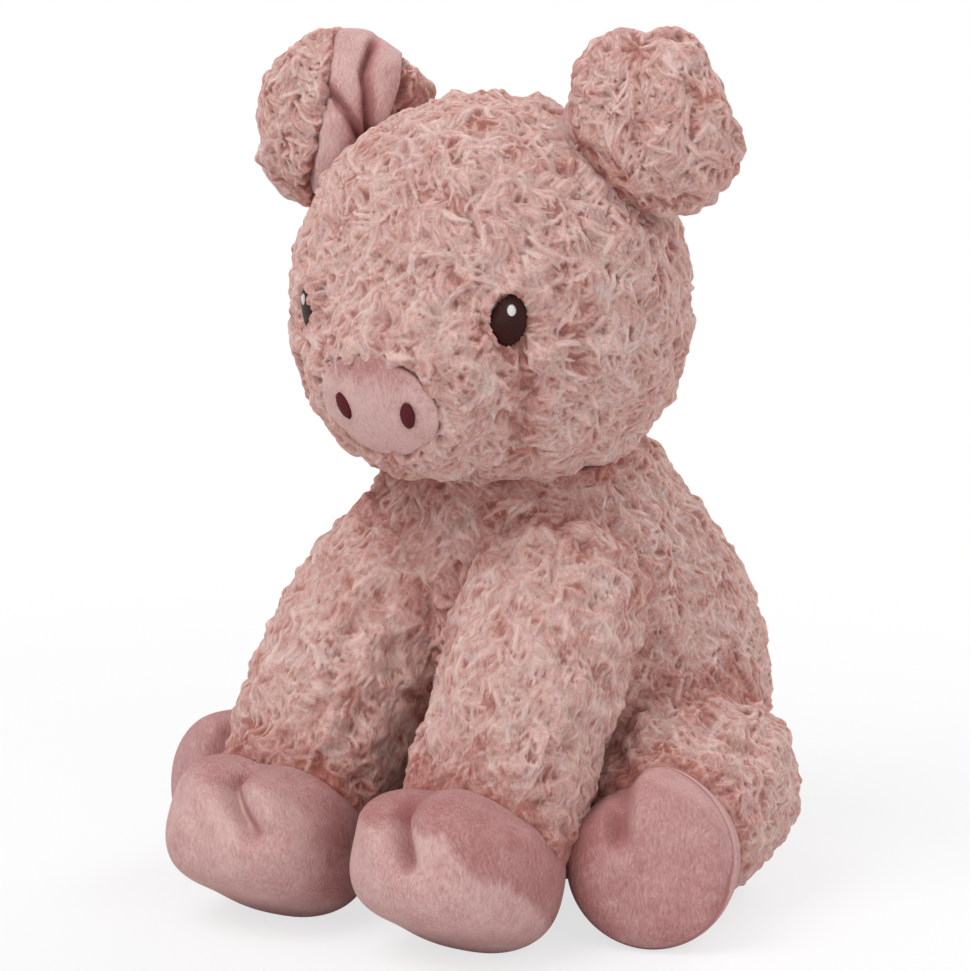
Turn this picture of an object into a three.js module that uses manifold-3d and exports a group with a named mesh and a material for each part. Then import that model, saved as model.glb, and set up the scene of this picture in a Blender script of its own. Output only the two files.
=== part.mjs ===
// Plush pig that sits on its haunches with both front legs straight down in front of it.
// Millimetres, +Z up. The pig looks along -Y and its left side is +X.
// The origin is the middle of the flat face under the seat, which the toy rests on.

import * as THREE from 'three';
import { mergeVertices } from 'three/addons/utils/BufferGeometryUtils.js';
import Module from 'manifold-3d';

const wasm = await Module();
wasm.setup();

const degrees = THREE.MathUtils.degToRad;

// Cloth and seams
const CLOTH = 5; // cloth with its pile, curly plush
const VELOUR = 4; // cloth with its pile, short plush
const SEAM_GAP = 0.3; // between pieces that are sewn or pressed together
const LIMB_GAP = 1.2; // between a limb and the torso that it lies against
const REST_CUT = 0.5; // how far a form would sink into the floor, cut off flat

// Torso
const TORSO_HEIGHT = 142; // the top of it lies in the hollow under the head
const TORSO_WIDTHS = [60, 62, 61, 53.5, 44, 40]; // half widths, from the seat to the neck
const TORSO_DEPTHS = [60, 63, 63, 58.5, 50, 43]; // half depths, from the seat to the neck
const TORSO_LEAN = [0, 5, 9, 5, -8, -17]; // how far back the middle lies, from the seat to the neck
const TORSO_SQUARENESS = 3;

// Head
const HEAD_RADIUS = 55.5; // upwards
const HEAD_WIDTH = 118;
const HEAD_DEPTH = 106; // without the muzzle
const HEAD_Y = -34;
const HEAD_Z = 176;
const JOWL_SQUARENESS = 2.8; // 2 is a ball, more is squarer
const NECK_GAP = 0.6;
const NECK_OPENING = 13; // radius of the hole that the stuffing passes through
const NECK_DROP = 3; // how far the head's stuffing reaches down into the torso

// Muzzle, snout and face
const MUZZLE_DROP = 26; // degrees below level
const MUZZLE_SPREAD = 38; // degrees from its middle to its edge
const MUZZLE_BULGE = 8.5;
const SNOUT_WIDTH = 37;
const SNOUT_HEIGHT = 31;
const SNOUT_PROUD = 1.2;
const NOSTRIL_WIDTH = 3.8;
const NOSTRIL_HEIGHT = 7.4;
const NOSTRIL_SPACING = 20.6;
const NOSTRIL_PROUD = 0.5;
const EYE_WIDTH = 10;
const EYE_HEIGHT = 14.4;
const EYE_SIDE = 34.5; // degrees from straight ahead
const EYE_DROP = 5; // degrees below level
const EYE_PROUD = 0.8;
const HIGHLIGHT_SIZE = 2.6;
const HIGHLIGHT_RISE = 2.8; // above the middle of the eye
const HIGHLIGHT_PROUD = 0.4;
const STITCH_DEPTH = 1.2; // how deep embroidery presses into the cloth

// Ears
const EAR_RISE = 41; // degrees above level
const EAR_LENGTH = 41;
const EAR_WIDTHS = [21, 25, 26, 24.5, 19]; // half widths, from the root to the tip
const EAR_THICKNESS = 10;
const EAR_TIP_BEND = 8; // how far the tip bends forward
const EAR_SQUARENESS = 3.4;
const EAR_ROOT_RADIUS = 4;
const EAR_ROOT_LENGTH = 32;
const EAR_ROOT_DEPTH = 1; // of the root's middle, under the top of the head's curve
const EAR_CURVE = [[0, 0], [0.35, 0.05], [0.7, 0.35], [1, 1]]; // shares of the length and of the bend
const EAR_CLEARANCE = 3; // between the flap and the head, so that it can flop
const LINING_THICKNESS = 6;
const LINING_INSET = 4.5;
const LINING_FORWARD = 3.4;

// Front legs
const SHOULDER = new THREE.Vector3(28, -33, 100);
const SHOULDER_RADIUS = 22;
const ELBOW = new THREE.Vector3(31, -62, 69);
const WRIST = new THREE.Vector3(32, -84, 36);
const ARM_END = new THREE.Vector3(32, -92, 22); // inside the trotter
const ARM_WIDTHS = [21, 23, 24.5, 25, 24, 21]; // half widths, from the shoulder to the wrist
const ARM_SQUARENESS = 4;
const SOCKET_GAP = 0.5;

// Front trotters
const TROTTER_Y = -100;
const TROTTER_X = 31.5;
const TROTTER_TIP = 24; // degrees, toes up
const TROTTER_LENGTH = 60;
const TROTTER_WIDTH = 53;
const TROTTER_HEIGHT = 42;
const TROTTER_SQUARENESS = 2.5;
const SOLE_THICKNESS = 4;
const SOLE_RISE = 9; // of the seam between sole and upper, above the trotter's lowest point
const CLEFT_WIDTH = 5;
const CLEFT_DEPTH = 11;
const CLEFT_HEIGHT = 32;

// Hind legs
const HIP_RADIUS = 32;
const HIP = new THREE.Vector3(45, 8, HIP_RADIUS - REST_CUT);
const HIND_SOLE_X = 76;
const HIND_SOLE_Y = -76;
const THIGH_WIDTHS = [30, 31, 30, 28, 25, 22]; // half widths, from the hip to the ankle
const THIGH_SQUARENESS = 4;
const HIP_SOCKET_GAP = 0.8;

// Hind trotters
const HIND_TROTTER_LENGTH = 30;
const HIND_TROTTER_WIDTH = 47;
const HIND_TROTTER_SQUARENESS = 3.2;
const HIND_CLEFT_SIDE = 6; // of the cleft's middle, inwards of the sole's middle

// Tail
const TAIL_Z = 44;
const TAIL_ROOT_RADIUS = 7;
const TAIL_ROOT_SINK = 1.5; // of the root's middle, inside the torso's back
const TAIL_WIDTHS = [5, 4.6, 4.4, 4.2, 3.8, 3.2];
const TAIL_CURL = 8; // radius of its one loop
const TAIL_LENGTH = 24;
const TAIL_SQUARENESS = 4;
const TAIL_CLEARANCE = 3.5;

// How many sides and rings the rounded forms have, outside and inside the cloth
const TORSO_MESH = [24, 13];
const HEAD_MESH = [28, 17];
const LIMB_MESH = [14, 9];
const TROTTER_MESH = [16, 11];
const HIND_TROTTER_MESH = [16, 8];
const EAR_MESH = [14, 9];
const TAIL_MESH = [8, 16];
const PEG_SIDES = 14;
const ROD_MESH = [4, 16];
const NOTCH_MESH = [10, 8];
const BALL_MESH = [16, 8];
const INNER_TORSO_MESH = [12, 8];
const INNER_HEAD_MESH = [12, 8];
const INNER_LIMB_MESH = [8, 6];
const INNER_TROTTER_MESH = [8, 6];
const INNER_BALL_MESH = [8, 5];

const curly = new THREE.MeshStandardMaterial({ color: 0xc99791, roughness: 0.95, metalness: 0 });
const velour = new THREE.MeshStandardMaterial({ color: 0xbd8c8b, roughness: 0.85, metalness: 0 });
const filling = new THREE.MeshStandardMaterial({ color: 0xf2efe9, roughness: 0.95, metalness: 0 });
const eyeThread = new THREE.MeshStandardMaterial({ color: 0x2a1512, roughness: 0.45, metalness: 0 });
const whiteThread = new THREE.MeshStandardMaterial({ color: 0xf4f0ec, roughness: 0.5, metalness: 0 });
const noseThread = new THREE.MeshStandardMaterial({ color: 0x4b1c22, roughness: 0.55, metalness: 0 });

// Solids

function solidOf(geometry) {
  geometry.deleteAttribute('normal');
  geometry.deleteAttribute('uv');
  const merged = mergeVertices(geometry, 1e-4);
  return new wasm.Manifold(new wasm.Mesh({
    numProp: 3,
    vertProperties: merged.attributes.position.array,
    triVerts: new Uint32Array(merged.index.array),
  }));
}

function geometryOf(solid) {
  const mesh = solid.getMesh();
  const geometry = new THREE.BufferGeometry();
  geometry.setAttribute('position', new THREE.BufferAttribute(mesh.vertProperties, 3));
  geometry.setIndex(new THREE.BufferAttribute(mesh.triVerts, 1));
  geometry.computeVertexNormals();
  return geometry;
}

function mirrored(geometry) {
  const copy = geometry.clone().applyMatrix4(new THREE.Matrix4().makeScale(-1, 1, 1));
  const index = copy.index.array;
  for (let i = 0; i < index.length; i += 3) {
    [index[i], index[i + 1]] = [index[i + 1], index[i]];
  }
  copy.computeVertexNormals();
  return copy;
}

function placed(geometry, matrix) {
  return solidOf(geometry.applyMatrix4(matrix));
}

function ball(centre, radius, [sides, rings]) {
  const poleAlongX = new THREE.Matrix4().makeRotationZ(Math.PI / 2).setPosition(centre);
  return placed(new THREE.SphereGeometry(radius, sides, rings), poleAlongX);
}

function standingBall(centre, radius, [sides, rings]) {
  const poleAlongZ = new THREE.Matrix4().makeRotationX(Math.PI / 2).setPosition(centre);
  return placed(new THREE.SphereGeometry(radius, sides, rings), poleAlongZ);
}

function otherSide(solid) {
  return solidOf(mirrored(geometryOf(solid)));
}

const ROOM = 600; // larger than the toy
const THROUGH = 8 * CLOTH; // long enough for a hole through two cloths

const floor = solidOf(new THREE.BoxGeometry(ROOM, ROOM, ROOM).translate(0, 0, -ROOM / 2));

// A sphere whose every point is moved to where surface puts it.
function form(surface, [sides, rings], grow = 0) {
  const geometry = new THREE.SphereGeometry(1, sides, rings);
  const position = geometry.attributes.position;
  const direction = new THREE.Vector3();
  for (let i = 0; i < position.count; i++) {
    direction.fromBufferAttribute(position, i).normalize();
    const point = surface(direction, grow);
    position.setXYZ(i, point.x, point.y, point.z);
  }
  return solidOf(geometry);
}

function spread(values) {
  const curve = new THREE.SplineCurve(values.map((value, i) => new THREE.Vector2(i, value)));
  return (t) => curve.getPoint(t).y;
}

// A form along a curve, with half widths across it and half depths through it, and round ends.
// Its sections stand square to the curve, or all to one way.
function drawnOut({ spine, widths, depths, squareness, side, way }) {
  const width = spread(widths);
  const depth = spread(depths);
  return (direction, grow) => {
    const along = THREE.MathUtils.clamp(direction.y, -1, 1);
    const rim = Math.max(0, 1 - Math.abs(along) ** squareness) ** (1 / squareness);
    const round = Math.max(1e-9, Math.hypot(direction.x, direction.z));
    const t = (1 - along) / 2;
    const tangent = way ?? spine.getTangent(t);
    const through = new THREE.Vector3().crossVectors(tangent, side).normalize();
    const across = new THREE.Vector3().crossVectors(through, tangent);
    return spine.getPoint(t)
      .addScaledVector(tangent, -along * grow)
      .addScaledVector(across, (direction.x / round) * rim * (width(t) + grow))
      .addScaledVector(through, (direction.z / round) * rim * (depth(t) + grow));
  };
}

const ACROSS = new THREE.Vector3(1, 0, 0);
const UP = new THREE.Vector3(0, 0, 1);

// Torso form

const torsoLength = TORSO_HEIGHT + REST_CUT;
const torsoSpine = new THREE.CatmullRomCurve3(TORSO_LEAN.map((lean, i) => (
  new THREE.Vector3(0, lean, torsoLength * i / (TORSO_LEAN.length - 1) - REST_CUT)
)));
const torsoSurface = drawnOut({
  spine: torsoSpine,
  widths: TORSO_WIDTHS,
  depths: TORSO_DEPTHS,
  squareness: TORSO_SQUARENESS,
  side: ACROSS,
  way: UP,
});

// Head form

const headCentre = new THREE.Vector3(0, HEAD_Y, HEAD_Z);

function facing(side, drop) {
  const level = Math.cos(degrees(drop));
  return new THREE.Vector3(
    level * Math.sin(degrees(side)), -level * Math.cos(degrees(side)), -Math.sin(degrees(drop)));
}

const muzzleAxis = facing(0, MUZZLE_DROP);

function headReach(way) {
  const level = Math.hypot(way.x, way.y);
  const squareness = way.z < 0 ? JOWL_SQUARENESS : 2;
  return HEAD_RADIUS / (level ** squareness + Math.abs(way.z) ** squareness) ** (1 / squareness);
}

// Wide and shallow above, and round where it sits on the neck, so that it can turn there.
function headStretch(way) {
  const above = THREE.MathUtils.smoothstep(way.z, -0.75, -0.2);
  return new THREE.Vector3(
    THREE.MathUtils.lerp(1, HEAD_WIDTH / 2 / HEAD_RADIUS, above),
    THREE.MathUtils.lerp(1, HEAD_DEPTH / 2 / HEAD_RADIUS, above),
    1);
}

function muzzleBulge(way) {
  const fromAxis = way.angleTo(muzzleAxis) / degrees(MUZZLE_SPREAD);
  return MUZZLE_BULGE * Math.max(0, 1 - fromAxis ** 2) ** 2;
}

function headPoint(way, grow) {
  return way.clone()
    .multiply(headStretch(way))
    .multiplyScalar(headReach(way))
    .addScaledVector(way, muzzleBulge(way) + grow)
    .add(headCentre);
}

function upright(direction) {
  return new THREE.Vector3(direction.x, -direction.z, direction.y);
}

const head = (grow) => form((direction) => headPoint(upright(direction), grow), HEAD_MESH);
const headInside = (grow) => form((direction) => headPoint(upright(direction), grow), INNER_HEAD_MESH);

// Shapes on the head's face

// An oval peg that points out of the head, long enough to pass through the cloth.
function facePeg(way, width, height, grow) {
  const outward = way.clone().divide(headStretch(way)).normalize();
  const flat = new THREE.Vector3(0, 0, 1).cross(outward).normalize();
  const rise = new THREE.Vector3().crossVectors(outward, flat);
  const peg = new THREE.CylinderGeometry(1, 1, THROUGH / 2, PEG_SIDES);
  peg.rotateX(Math.PI / 2);
  peg.scale(width / 2 + grow, height / 2 + grow, 1);
  return placed(peg, new THREE.Matrix4().makeBasis(flat, rise, outward).setPosition(headPoint(way, 0)));
}

function pocket(way, width, height, depth, grow = SEAM_GAP) {
  return facePeg(way, width, height, grow).subtract(head(-depth - grow));
}

function patch(way, width, height, proud, depth) {
  return pocket(way, width, height, depth, 0).intersect(head(proud));
}

const eyeWay = facing(EYE_SIDE, EYE_DROP);
const highlightWay = facing(EYE_SIDE, EYE_DROP - THREE.MathUtils.radToDeg(HIGHLIGHT_RISE / HEAD_RADIUS));
const snoutReach = headPoint(muzzleAxis, SNOUT_PROUD).distanceTo(headCentre);
const nostrilSide = THREE.MathUtils.radToDeg(NOSTRIL_SPACING / 2 / snoutReach);
const nostrilWay = facing(nostrilSide, MUZZLE_DROP);

// Ear forms, for the left ear

const earOut = new THREE.Vector3(Math.cos(degrees(EAR_RISE)), 0, Math.sin(degrees(EAR_RISE)));
const earAlong = new THREE.Vector3(-Math.sin(degrees(EAR_RISE)), 0, Math.cos(degrees(EAR_RISE)));
const earFront = new THREE.Vector3(0, -1, 0);
const earRoot = headPoint(earOut, 0).addScaledVector(earOut, -EAR_ROOT_DEPTH);

function earSpine(forward) {
  const points = EAR_CURVE.map(([out, bend]) => (
    earRoot.clone()
      .addScaledVector(earOut, out * EAR_LENGTH)
      .addScaledVector(earFront, bend * EAR_TIP_BEND + forward)
  ));
  return new THREE.CatmullRomCurve3(points);
}

const flapSurface = drawnOut({
  spine: earSpine(0),
  widths: EAR_WIDTHS,
  depths: EAR_WIDTHS.map(() => EAR_THICKNESS / 2),
  squareness: EAR_SQUARENESS,
  side: earAlong,
});
const liningSurface = drawnOut({
  spine: earSpine(LINING_FORWARD),
  widths: EAR_WIDTHS.map((width) => width - LINING_INSET),
  depths: EAR_WIDTHS.map(() => LINING_THICKNESS / 2),
  squareness: EAR_SQUARENESS,
  side: earAlong,
});

function earRod(grow) {
  const rod = new THREE.CapsuleGeometry(EAR_ROOT_RADIUS + grow, EAR_ROOT_LENGTH, ...ROD_MESH);
  return placed(rod, new THREE.Matrix4().makeBasis(earOut, earAlong, earFront).setPosition(earRoot));
}

// Front leg forms, for the left leg

const armSurface = drawnOut({
  spine: new THREE.CatmullRomCurve3([SHOULDER, ELBOW, WRIST, ARM_END]),
  widths: ARM_WIDTHS,
  depths: ARM_WIDTHS,
  squareness: ARM_SQUARENESS,
  side: ACROSS,
});

const tipUp = new THREE.Matrix4().makeRotationX(-degrees(TROTTER_TIP));

function trotterShape(direction, grow) {
  const bulged = (value) => Math.sign(value) * Math.abs(value) ** (2 / TROTTER_SQUARENESS);
  return new THREE.Vector3(
    bulged(direction.x) * (TROTTER_WIDTH / 2 + grow),
    bulged(direction.y) * (TROTTER_LENGTH / 2 + grow),
    bulged(direction.z) * (TROTTER_HEIGHT / 2 + grow));
}

function lowest(solid) {
  return solid.boundingBox().min[2];
}

// The tipped trotter rests on the floor, which cuts it flat.
const tippedShape = (direction) => trotterShape(direction, 0).applyMatrix4(tipUp);
const trotterSink = lowest(form(tippedShape, TROTTER_MESH));
const trotterCentre = new THREE.Vector3(TROTTER_X, TROTTER_Y, -trotterSink - REST_CUT);
const trotterPlace = tipUp.clone().setPosition(trotterCentre);
const trotterSurface = (direction, grow) => trotterShape(direction, grow).applyMatrix4(trotterPlace);
const trotter = (grow, mesh = TROTTER_MESH) => form(trotterSurface, mesh, grow);

// Hind leg forms, for the left leg

const legReach = new THREE.Vector3(HIND_SOLE_X - HIP.x, HIND_SOLE_Y - HIP.y, 0);
const legWay = legReach.clone().normalize();
const legLength = legReach.length();
const hindTrotterZ = HIND_TROTTER_WIDTH / 2 - REST_CUT;

function alongLeg(distance, height) {
  return HIP.clone().addScaledVector(legWay, distance).setZ(height);
}

const ankle = legLength - HIND_TROTTER_LENGTH;
const thighSurface = drawnOut({
  spine: new THREE.CatmullRomCurve3([
    alongLeg(0, HIP.z),
    alongLeg(ankle / 2, Math.max(...THIGH_WIDTHS) - REST_CUT),
    alongLeg(ankle + HIND_TROTTER_LENGTH / 3, hindTrotterZ),
  ]),
  widths: THIGH_WIDTHS,
  depths: THIGH_WIDTHS,
  squareness: THIGH_SQUARENESS,
  side: UP,
});
const hindTrotterSurface = drawnOut({
  spine: new THREE.LineCurve3(alongLeg(ankle, hindTrotterZ), alongLeg(legLength, hindTrotterZ)),
  widths: [HIND_TROTTER_WIDTH / 2, HIND_TROTTER_WIDTH / 2],
  depths: [HIND_TROTTER_WIDTH / 2, HIND_TROTTER_WIDTH / 2],
  squareness: HIND_TROTTER_SQUARENESS,
  side: UP,
});

// Tail form

const tailSpineT = (TAIL_Z + REST_CUT) / torsoLength;
const tailRim = (1 - Math.abs(1 - 2 * tailSpineT) ** TORSO_SQUARENESS) ** (1 / TORSO_SQUARENESS);
const tailRoot = new THREE.Vector3(
  0,
  spread(TORSO_LEAN)(tailSpineT) + spread(TORSO_DEPTHS)(tailSpineT) * tailRim - TAIL_ROOT_SINK,
  TAIL_Z);

function tailSpine() {
  const points = [tailRoot.clone()];
  const steps = 8;
  for (let i = 0; i <= steps; i++) {
    const turn = (i / steps) * 2 * Math.PI;
    points.push(new THREE.Vector3(
      TAIL_CURL * Math.sin(turn),
      tailRoot.y + TAIL_ROOT_RADIUS + (i / steps) * TAIL_LENGTH,
      tailRoot.z + TAIL_CURL * (1 - Math.cos(turn))));
  }
  return new THREE.CatmullRomCurve3(points);
}

const BESIDE_CURL = new THREE.Vector3(-0.5, 1, 0.1).normalize(); // the curl never runs along it

const tailSurface = drawnOut({
  spine: tailSpine(),
  widths: TAIL_WIDTHS,
  depths: TAIL_WIDTHS,
  squareness: TAIL_SQUARENESS,
  side: BESIDE_CURL,
});

// Limbs with their sockets. grow is 0 for the outside, less for the inside of the cloth.

function fineness(grow) {
  const outside = grow > -CLOTH;
  return {
    torsoMesh: outside ? TORSO_MESH : INNER_TORSO_MESH,
    headMesh: outside ? HEAD_MESH : INNER_HEAD_MESH,
    limbMesh: outside ? LIMB_MESH : INNER_LIMB_MESH,
    trotterMesh: outside ? TROTTER_MESH : INNER_TROTTER_MESH,
    ballMesh: outside ? BALL_MESH : INNER_BALL_MESH,
  };
}

function headAbove(grow) {
  return form((direction) => headPoint(upright(direction), NECK_GAP - grow), fineness(grow).headMesh);
}

function torsoBeside(grow) {
  return form(torsoSurface, fineness(grow).torsoMesh, LIMB_GAP - grow);
}

function armBody(grow) {
  const { limbMesh, ballMesh } = fineness(grow);
  const tube = form(armSurface, limbMesh, grow).subtract(torsoBeside(grow));
  return ball(SHOULDER, SHOULDER_RADIUS + grow, ballMesh).add(tube).subtract(headAbove(grow));
}

function legBody(grow) {
  const { limbMesh, ballMesh } = fineness(grow);
  const tube = form(thighSurface, limbMesh, grow).subtract(torsoBeside(grow));
  return standingBall(HIP, HIP_RADIUS + grow, ballMesh).add(tube);
}

function sockets(grow) {
  const { ballMesh } = fineness(grow);
  const left = ball(SHOULDER, SHOULDER_RADIUS + SOCKET_GAP - grow, ballMesh)
    .add(standingBall(HIP, HIP_RADIUS + HIP_SOCKET_GAP - grow, ballMesh));
  return left
    .add(otherSide(left))
    .add(standingBall(tailRoot, TAIL_ROOT_RADIUS + SOCKET_GAP - grow, BALL_MESH));
}

function hole(centre, way, radius, length) {
  const bore = new THREE.CylinderGeometry(radius, radius, length, PEG_SIDES);
  const turn = new THREE.Quaternion().setFromUnitVectors(new THREE.Vector3(0, 1, 0), way);
  return placed(bore, new THREE.Matrix4().makeRotationFromQuaternion(turn).setPosition(centre));
}

// A block that fills all space in front of a plane.
function beyond(point, way, level) {
  const third = new THREE.Vector3().crossVectors(way, level);
  const block = new THREE.BoxGeometry(ROOM, ROOM, ROOM).translate(0, ROOM / 2, 0);
  return placed(block, new THREE.Matrix4().makeBasis(level, way, third.negate()).setPosition(point));
}

const underHead = new THREE.Vector3(0, HEAD_Y, HEAD_Z - HEAD_RADIUS);
const neckHole = hole(underHead, UP, NECK_OPENING, THROUGH);

// Pieces

const pieces = [];

function add(name, material, solid) {
  pieces.push([name, material, geometryOf(solid)]);
}

function addPair(name, material, solid) {
  const left = geometryOf(solid);
  pieces.push([`${name}_left`, material, left]);
  pieces.push([`${name}_right`, material, mirrored(left)]);
}

function makeTorso() {
  const whole = (grow) => form(torsoSurface, fineness(grow).torsoMesh, grow)
    .subtract(headAbove(grow))
    .subtract(sockets(grow));
  add('torso_skin', curly, whole(0).subtract(whole(-CLOTH)).subtract(neckHole).subtract(floor));
  add('torso_stuffing', filling, whole(-CLOTH - SEAM_GAP));
}

function makeHead() {
  const eyePocket = pocket(eyeWay, EYE_WIDTH, EYE_HEIGHT, STITCH_DEPTH);
  const rod = earRod(SEAM_GAP);
  let skin = head(0).subtract(headInside(-CLOTH)).subtract(neckHole);
  for (const cut of [eyePocket, otherSide(eyePocket), rod, otherSide(rod)]) {
    skin = skin.subtract(cut);
  }
  skin = skin.subtract(facePeg(muzzleAxis, SNOUT_WIDTH, SNOUT_HEIGHT, SEAM_GAP));
  const plugRise = THROUGH / 2;
  const plugMiddle = underHead.clone().setZ(underHead.z + (plugRise - NECK_DROP) / 2);
  const neck = hole(plugMiddle, UP, NECK_OPENING - NECK_GAP, plugRise + NECK_DROP);
  add('head_skin', curly, skin);
  add('head_stuffing', filling, headInside(-CLOTH - SEAM_GAP).add(neck));
}

function makeSnout() {
  const proud = SNOUT_PROUD + NOSTRIL_PROUD;
  const depth = STITCH_DEPTH - SNOUT_PROUD;
  const nostrilPocket = pocket(nostrilWay, NOSTRIL_WIDTH, NOSTRIL_HEIGHT, depth);
  const disc = facePeg(muzzleAxis, SNOUT_WIDTH, SNOUT_HEIGHT, 0)
    .intersect(head(SNOUT_PROUD))
    .subtract(head(SEAM_GAP - CLOTH))
    .subtract(nostrilPocket)
    .subtract(otherSide(nostrilPocket));
  add('snout_disc', velour, disc);
  addPair('nostril', noseThread, patch(nostrilWay, NOSTRIL_WIDTH, NOSTRIL_HEIGHT, proud, depth));
}

function makeEyes() {
  const proud = EYE_PROUD + HIGHLIGHT_PROUD;
  const depth = -EYE_PROUD / 2;
  const eye = patch(eyeWay, EYE_WIDTH, EYE_HEIGHT, EYE_PROUD, STITCH_DEPTH)
    .subtract(pocket(highlightWay, HIGHLIGHT_SIZE, HIGHLIGHT_SIZE, depth));
  addPair('eye', eyeThread, eye);
  addPair('eye_highlight', whiteThread, patch(highlightWay, HIGHLIGHT_SIZE, HIGHLIGHT_SIZE, proud, depth));
}

function makeEars() {
  const clear = head(EAR_CLEARANCE);
  const flap = form(flapSurface, EAR_MESH)
    .subtract(clear)
    .add(earRod(0))
    .subtract(form(liningSurface, EAR_MESH, SEAM_GAP));
  addPair('ear', curly, flap);
  addPair('ear_lining', velour, form(liningSurface, EAR_MESH).subtract(clear));
}

function cleft(matrix, along, wide, high) {
  const notch = new THREE.SphereGeometry(1, ...NOTCH_MESH);
  notch.scale(wide, along, high);
  return placed(notch, matrix);
}

function makeFrontLegs() {
  const inside = (grow) => armBody(grow).add(trotter(grow + CLOTH - VELOUR, INNER_TROTTER_MESH));
  const hollow = inside(-CLOTH);
  const seamHole = hole(SHOULDER, ACROSS, SHOULDER_RADIUS / 2, 2 * SHOULDER_RADIUS + 2 * CLOTH)
    .subtract(beyond(SHOULDER, ACROSS, UP));
  const skin = armBody(0).subtract(trotter(SEAM_GAP)).subtract(hollow).subtract(seamHole);
  addPair('front_leg_skin', curly, skin);

  const toes = new THREE.Vector3(0, -TROTTER_LENGTH / 2, TROTTER_HEIGHT / 6).applyMatrix4(trotterPlace);
  const notch = (grow) => cleft(
    tipUp.clone().setPosition(toes), CLEFT_DEPTH + grow, CLEFT_WIDTH / 2 + grow, CLEFT_HEIGHT / 2 + grow);
  const under = new THREE.Vector3(0, 0, -1).applyMatrix4(tipUp);
  const soleTop = new THREE.Vector3(0, 0, SOLE_RISE - TROTTER_HEIGHT / 2).applyMatrix4(trotterPlace);
  const gap = under.clone().multiplyScalar(-SEAM_GAP);
  const belowSeam = beyond(soleTop, under, ACROSS);
  const belowUpper = beyond(soleTop.clone().add(gap), under, ACROSS);
  const liner = hollow.subtract(notch(VELOUR));
  const upper = trotter(0).subtract(belowUpper).subtract(liner).subtract(notch(0)).subtract(floor);
  const sole = trotter(0).intersect(belowSeam).subtract(liner).subtract(notch(0)).subtract(floor);
  addPair('front_trotter_upper', velour, upper);
  addPair('front_trotter_sole', velour, sole);
  addPair('front_leg_stuffing', filling, inside(-CLOTH - SEAM_GAP).subtract(notch(VELOUR + SEAM_GAP)));
}

function makeHindLegs() {
  const trotterBody = (grow, mesh = HIND_TROTTER_MESH) => form(hindTrotterSurface, mesh, grow);
  const clearOfArm = armBody(LIMB_GAP).add(trotter(LIMB_GAP));
  const inside = (grow) => legBody(grow)
    .add(trotterBody(grow + CLOTH - VELOUR, INNER_TROTTER_MESH))
    .subtract(armBody(LIMB_GAP - grow));
  const hollow = inside(-CLOTH);
  const seamHole = hole(HIP, ACROSS, HIP_RADIUS / 2, 2 * HIP_RADIUS + 2 * CLOTH)
    .subtract(beyond(HIP, ACROSS, UP));
  const skin = legBody(0)
    .subtract(trotterBody(SEAM_GAP))
    .subtract(clearOfArm)
    .subtract(hollow)
    .subtract(seamHole)
    .subtract(floor);
  addPair('hind_leg_skin', curly, skin);

  const inwards = new THREE.Vector3().crossVectors(legWay, UP);
  const top = alongLeg(legLength, 2 * hindTrotterZ).addScaledVector(inwards, HIND_CLEFT_SIDE);
  const turned = new THREE.Matrix4().makeBasis(inwards, legWay, UP).setPosition(top);
  const notch = (grow) => cleft(
    turned, HIND_TROTTER_LENGTH / 2 + grow, CLEFT_WIDTH / 2 + grow, CLEFT_DEPTH + grow);
  const seam = legLength - SOLE_THICKNESS;
  const body = trotterBody(0).subtract(notch(0)).subtract(clearOfArm).subtract(floor);
  const liner = hollow.subtract(notch(VELOUR));
  const upper = body.subtract(beyond(alongLeg(seam - SEAM_GAP, 0), legWay, UP)).subtract(liner);
  const sole = body.intersect(beyond(alongLeg(seam, 0), legWay, UP));
  addPair('hind_trotter_upper', velour, upper);
  addPair('hind_trotter_sole', velour, sole);
  const stuffing = inside(-CLOTH - SEAM_GAP)
    .subtract(notch(VELOUR + SEAM_GAP))
    .subtract(beyond(alongLeg(seam - SEAM_GAP, 0), legWay, UP));
  addPair('hind_leg_stuffing', filling, stuffing);
}

function makeTail() {
  const curl = form(tailSurface, TAIL_MESH).subtract(form(torsoSurface, TORSO_MESH, TAIL_CLEARANCE));
  add('tail', velour, standingBall(tailRoot, TAIL_ROOT_RADIUS, BALL_MESH).add(curl));
}

makeTorso();
makeHead();
makeSnout();
makeEyes();
makeEars();
makeFrontLegs();
makeHindLegs();
makeTail();

const pig = new THREE.Group();
for (const [name, material, geometry] of pieces) {
  const mesh = new THREE.Mesh(geometry, material);
  mesh.name = name;
  pig.add(mesh);
}

export default pig;
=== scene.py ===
"""Plush pig that sits on its haunches, in curly plush and short plush.

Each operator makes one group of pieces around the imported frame. Sizes in the code are in millimetres, +Z is up,
the pig looks along -Y and its left side is +X. A finished piece's mesh is in metres.
"""

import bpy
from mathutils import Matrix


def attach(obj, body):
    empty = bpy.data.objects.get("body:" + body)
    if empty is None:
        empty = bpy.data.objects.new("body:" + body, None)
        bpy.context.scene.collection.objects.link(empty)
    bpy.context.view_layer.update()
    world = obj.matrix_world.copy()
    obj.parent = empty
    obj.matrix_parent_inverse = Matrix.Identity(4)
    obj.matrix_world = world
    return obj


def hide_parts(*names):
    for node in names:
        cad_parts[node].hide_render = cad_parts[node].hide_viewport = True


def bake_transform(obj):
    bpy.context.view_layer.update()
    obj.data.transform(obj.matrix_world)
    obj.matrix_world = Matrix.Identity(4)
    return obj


bl_info = {
    "name": "Plush Pig",
    "version": (1, 0, 0),
    "blender": (4, 5, 0),
    "location": "3D View > Sidebar > Plush Pig",
    "description": "Makes a sitting plush pig with a curly pile, piece by piece",
    "category": "Add Mesh",
}

import math

import bmesh
import bpy
import numpy as np
from mathutils import Matrix, Vector
from mathutils.bvhtree import BVHTree
from mathutils.kdtree import KDTree

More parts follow.
